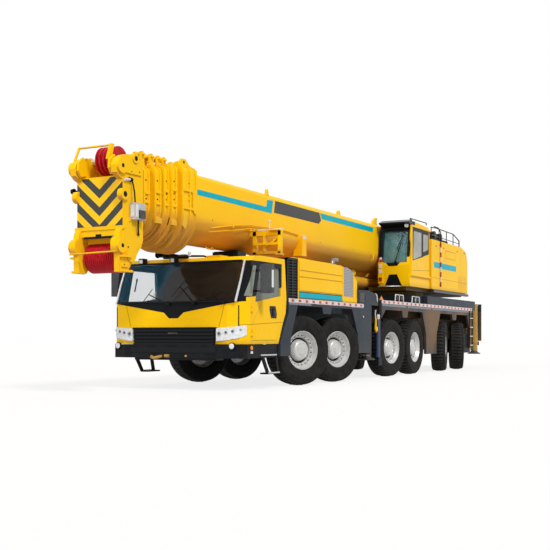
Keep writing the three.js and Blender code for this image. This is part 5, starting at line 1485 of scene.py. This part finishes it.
def set_house():
    s = Shape()
    for sign in (1, -1):
        s.use(0).box((-6.51, -4.43 if sign > 0 else -3.35), (sign * 1.4795, sign * 1.484), (2.94, 3.10))
        # ladder rail with red and white bands
        x = -4.97 if sign > 0 else -4.30
        for k in range(9):
            s.use(1 + k % 2)
            s.rod((x, sign * 1.505, 2.42 + 0.14 * k), (x, sign * 1.505, 2.56 + 0.14 * k), 0.021, 10)
        s.use(3).pipe([(x, sign * 1.505, 3.66), (x, sign * 1.50, 3.98), (x + 0.06, sign * 1.44, 4.10),
            (x + 0.30, sign * 1.40, 4.12)], 0.014)
        s.use(3).box((x - 0.02, x + 0.02), (sign * 1.475, sign * 1.50), (2.44, 2.48))
        s.box((x - 0.02, x + 0.02), (sign * 1.475, sign * 1.50), (3.60, 3.64))
        # rails along the roof edge
        rail = [(-5.0, 4.145), (-5.46, 4.165), (-7.12, 4.145), (-7.74, 3.99), (-7.74, 3.72)]
        s.use(3).pipe([(a, sign * 1.20, z) for a, z in rail], 0.016, 8)
        for a in (-5.02, -5.75, -6.45, -7.12):
            s.use(3).rod((a, sign * 1.20, 3.70), (a, sign * 1.20, 4.15), 0.014, 8)
        s.use(3).rod((-5.02, sign * 1.20, 3.93), (-7.72, sign * 1.20, 3.90), 0.012, 8)
        # louvres low on the side, latches, and the grey lower edge
        louvre = Shape().box((-7.55, -6.75), (sign * 1.475, sign * 1.490), (2.46, 2.475))
        s.take(row(louvre, 8, (0, 0, 0.05), yellow), tone=5)
        for a in (-4.62, -5.30, -6.62, -7.35):
            s.use(4).box((a - 0.05, a + 0.05), (sign * 1.478, sign * 1.486), (3.54, 3.57))
        s.use(4).box((-7.80, -3.35 if sign < 0 else -4.40), (sign * 1.40, sign * 1.486), (2.245, 2.315))
    # hose reels, coolers and tanks on the roof
    s.use(3).box((-6.90, -5.30), (0.70, 1.10), (3.68, 3.90))
    s.box((-6.60, -5.40), (-1.10, -0.70), (3.68, 4.00))
    s.use(3).disc((-5.65, 0.90, 3.97), 0.13, 0.42, "y", 28).disc((-6.30, 0.90, 3.95), 0.14, 0.36, "y", 28)
    s.use(4).disc((-5.65, 0.90, 3.97), 0.06, 0.46, "y", 20).disc((-6.30, 0.90, 3.95), 0.06, 0.40, "y", 20)
    s.use(3).pipe([(-6.9, 0.80, 3.86), (-7.15, 0.75, 3.92), (-7.35, 0.75, 3.80), (-7.40, 0.75, 3.68)], 0.03)
    s.use(3).pipe([(-5.3, 1.00, 3.80), (-5.10, 1.02, 3.90), (-4.85, 1.02, 3.80), (-4.80, 1.02, 3.66)], 0.03)
    # rear grille and lamps
    bar = Shape().box((-7.855, -7.835), (-1.05, 1.05), (2.70, 2.725))
    s.take(row(bar, 12, (0, 0, 0.065), trim), tone=3)
    with s.on_both_sides():
        s.use(2).box((-7.86, -7.84), (1.20, 1.36), (2.62, 2.76))
        s.use(1).box((-7.865, -7.85), (1.22, 1.34), (3.40, 3.50))
    piece(s, "house_stripe_rails_and_machinery", "superstructure",
        [turquoise, dark_red, white, trim, housing_grey, yellow], bevel=0.003)


set_operator_cab()
set_house()


# ---- light, floor and camera ----
FLOOR_REACH = 160.0
FLOOR_GLOW, FLOOR_GLOW_SHARE = 1.12, 0.72
CAMERA_AT, CAMERA_TURN = (21.497, 9.937, 0.999), math.radians(27.756)
LENS, SENSOR, RISE = 62.11, 36.0, 0.112


def background_share(nodes, link):
    """1 where the camera, a reflection or a view through glass meets the background, otherwise 0."""
    path = nodes.new("ShaderNodeLightPath")
    share = path.outputs["Is Camera Ray"]
    for ray in ("Is Glossy Ray", "Is Transmission Ray"):
        most = nodes.new("ShaderNodeMath")
        most.operation = "MAXIMUM"
        link(share, most.inputs[0])
        link(path.outputs[ray], most.inputs[1])
        share = most.outputs[0]
    return share


def set_floor():
    mesh = bpy.data.meshes.new("floor")
    r = FLOOR_REACH
    mesh.from_pydata([(-r, -r, 0), (r, -r, 0), (r, r, 0), (-r, r, 0)], [], [(0, 1, 2, 3)])
    floor = bpy.data.objects.new("floor", mesh)
    bpy.context.scene.collection.objects.link(floor)
    material = bpy.data.materials.new("pale_floor")
    material.use_nodes = True
    nodes, link = material.node_tree.nodes, material.node_tree.links.new
    nodes.clear()
    out, mixer, glow, matt, share = (nodes.new("ShaderNode" + k) for k in (
        "OutputMaterial", "MixShader", "Emission", "BsdfDiffuse", "Math"))
    share.operation = "MULTIPLY"
    share.inputs[1].default_value = FLOOR_GLOW_SHARE
    link(background_share(nodes, link), share.inputs[0])
    link(share.outputs[0], mixer.inputs[0])
    glow.inputs["Color"].default_value = (1, 1, 1, 1)
    glow.inputs["Strength"].default_value = FLOOR_GLOW
    matt.inputs["Color"].default_value = (0.66, 0.63, 0.60, 1)
    link(matt.outputs[0], mixer.inputs[1])
    link(glow.outputs[0], mixer.inputs[2])
    link(mixer.outputs[0], out.inputs["Surface"])
    mesh.materials.append(material)


def set_world():
    world = bpy.data.worlds.new("studio")
    bpy.context.scene.world = world
    world.use_nodes = True
    nodes, link = world.node_tree.nodes, world.node_tree.links.new
    nodes.clear()
    out, mixer, lit, seen = (nodes.new("ShaderNode" + k) for k in (
        "OutputWorld", "MixShader", "Background", "Background"))
    for node, colour, strength in ((lit, (0.92, 0.95, 1.0, 1), 0.50), (seen, (1, 1, 1, 1), 1.0)):
        node.inputs["Color"].default_value = colour
        node.inputs["Strength"].default_value = strength
    link(background_share(nodes, link), mixer.inputs[0])
    link(lit.outputs[0], mixer.inputs[1])
    link(seen.outputs[0], mixer.inputs[2])
    link(mixer.outputs[0], out.inputs["Surface"])


def set_sun(name, strength, position, spread, colour):
    """A sun that shines from a position towards the crane's middle; its spread is in degrees."""
    data = bpy.data.lights.new(name, "SUN")
    data.energy, data.color, data.angle = strength, colour, math.radians(spread)
    lamp = bpy.data.objects.new(name, data)
    lamp.location = position
    lamp.rotation_euler = (-Vector(position)).to_track_quat("-Z", "Y").to_euler()
    bpy.context.scene.collection.objects.link(lamp)


def set_camera():
    data = bpy.data.cameras.new("camera")
    data.lens, data.sensor_width, data.shift_y = LENS, SENSOR, RISE
    data.clip_end = 600.0
    camera = bpy.data.objects.new("camera", data)
    camera.location = CAMERA_AT
    way = Vector((-math.cos(CAMERA_TURN), -math.sin(CAMERA_TURN), 0.0))
    camera.rotation_euler = way.to_track_quat("-Z", "Y").to_euler()
    bpy.context.scene.collection.objects.link(camera)
    bpy.context.scene.camera = camera


set_floor()
set_world()
set_sun("key_sun", 2.15, (8.0, 14.0, 16.0), 12.0, (1.0, 0.98, 0.95))
set_sun("front_sun", 0.9, (18.0, -3.0, 9.0), 25.0, (1, 1, 1))
set_camera()
bpy.context.scene.view_settings.view_transform = "Standard"
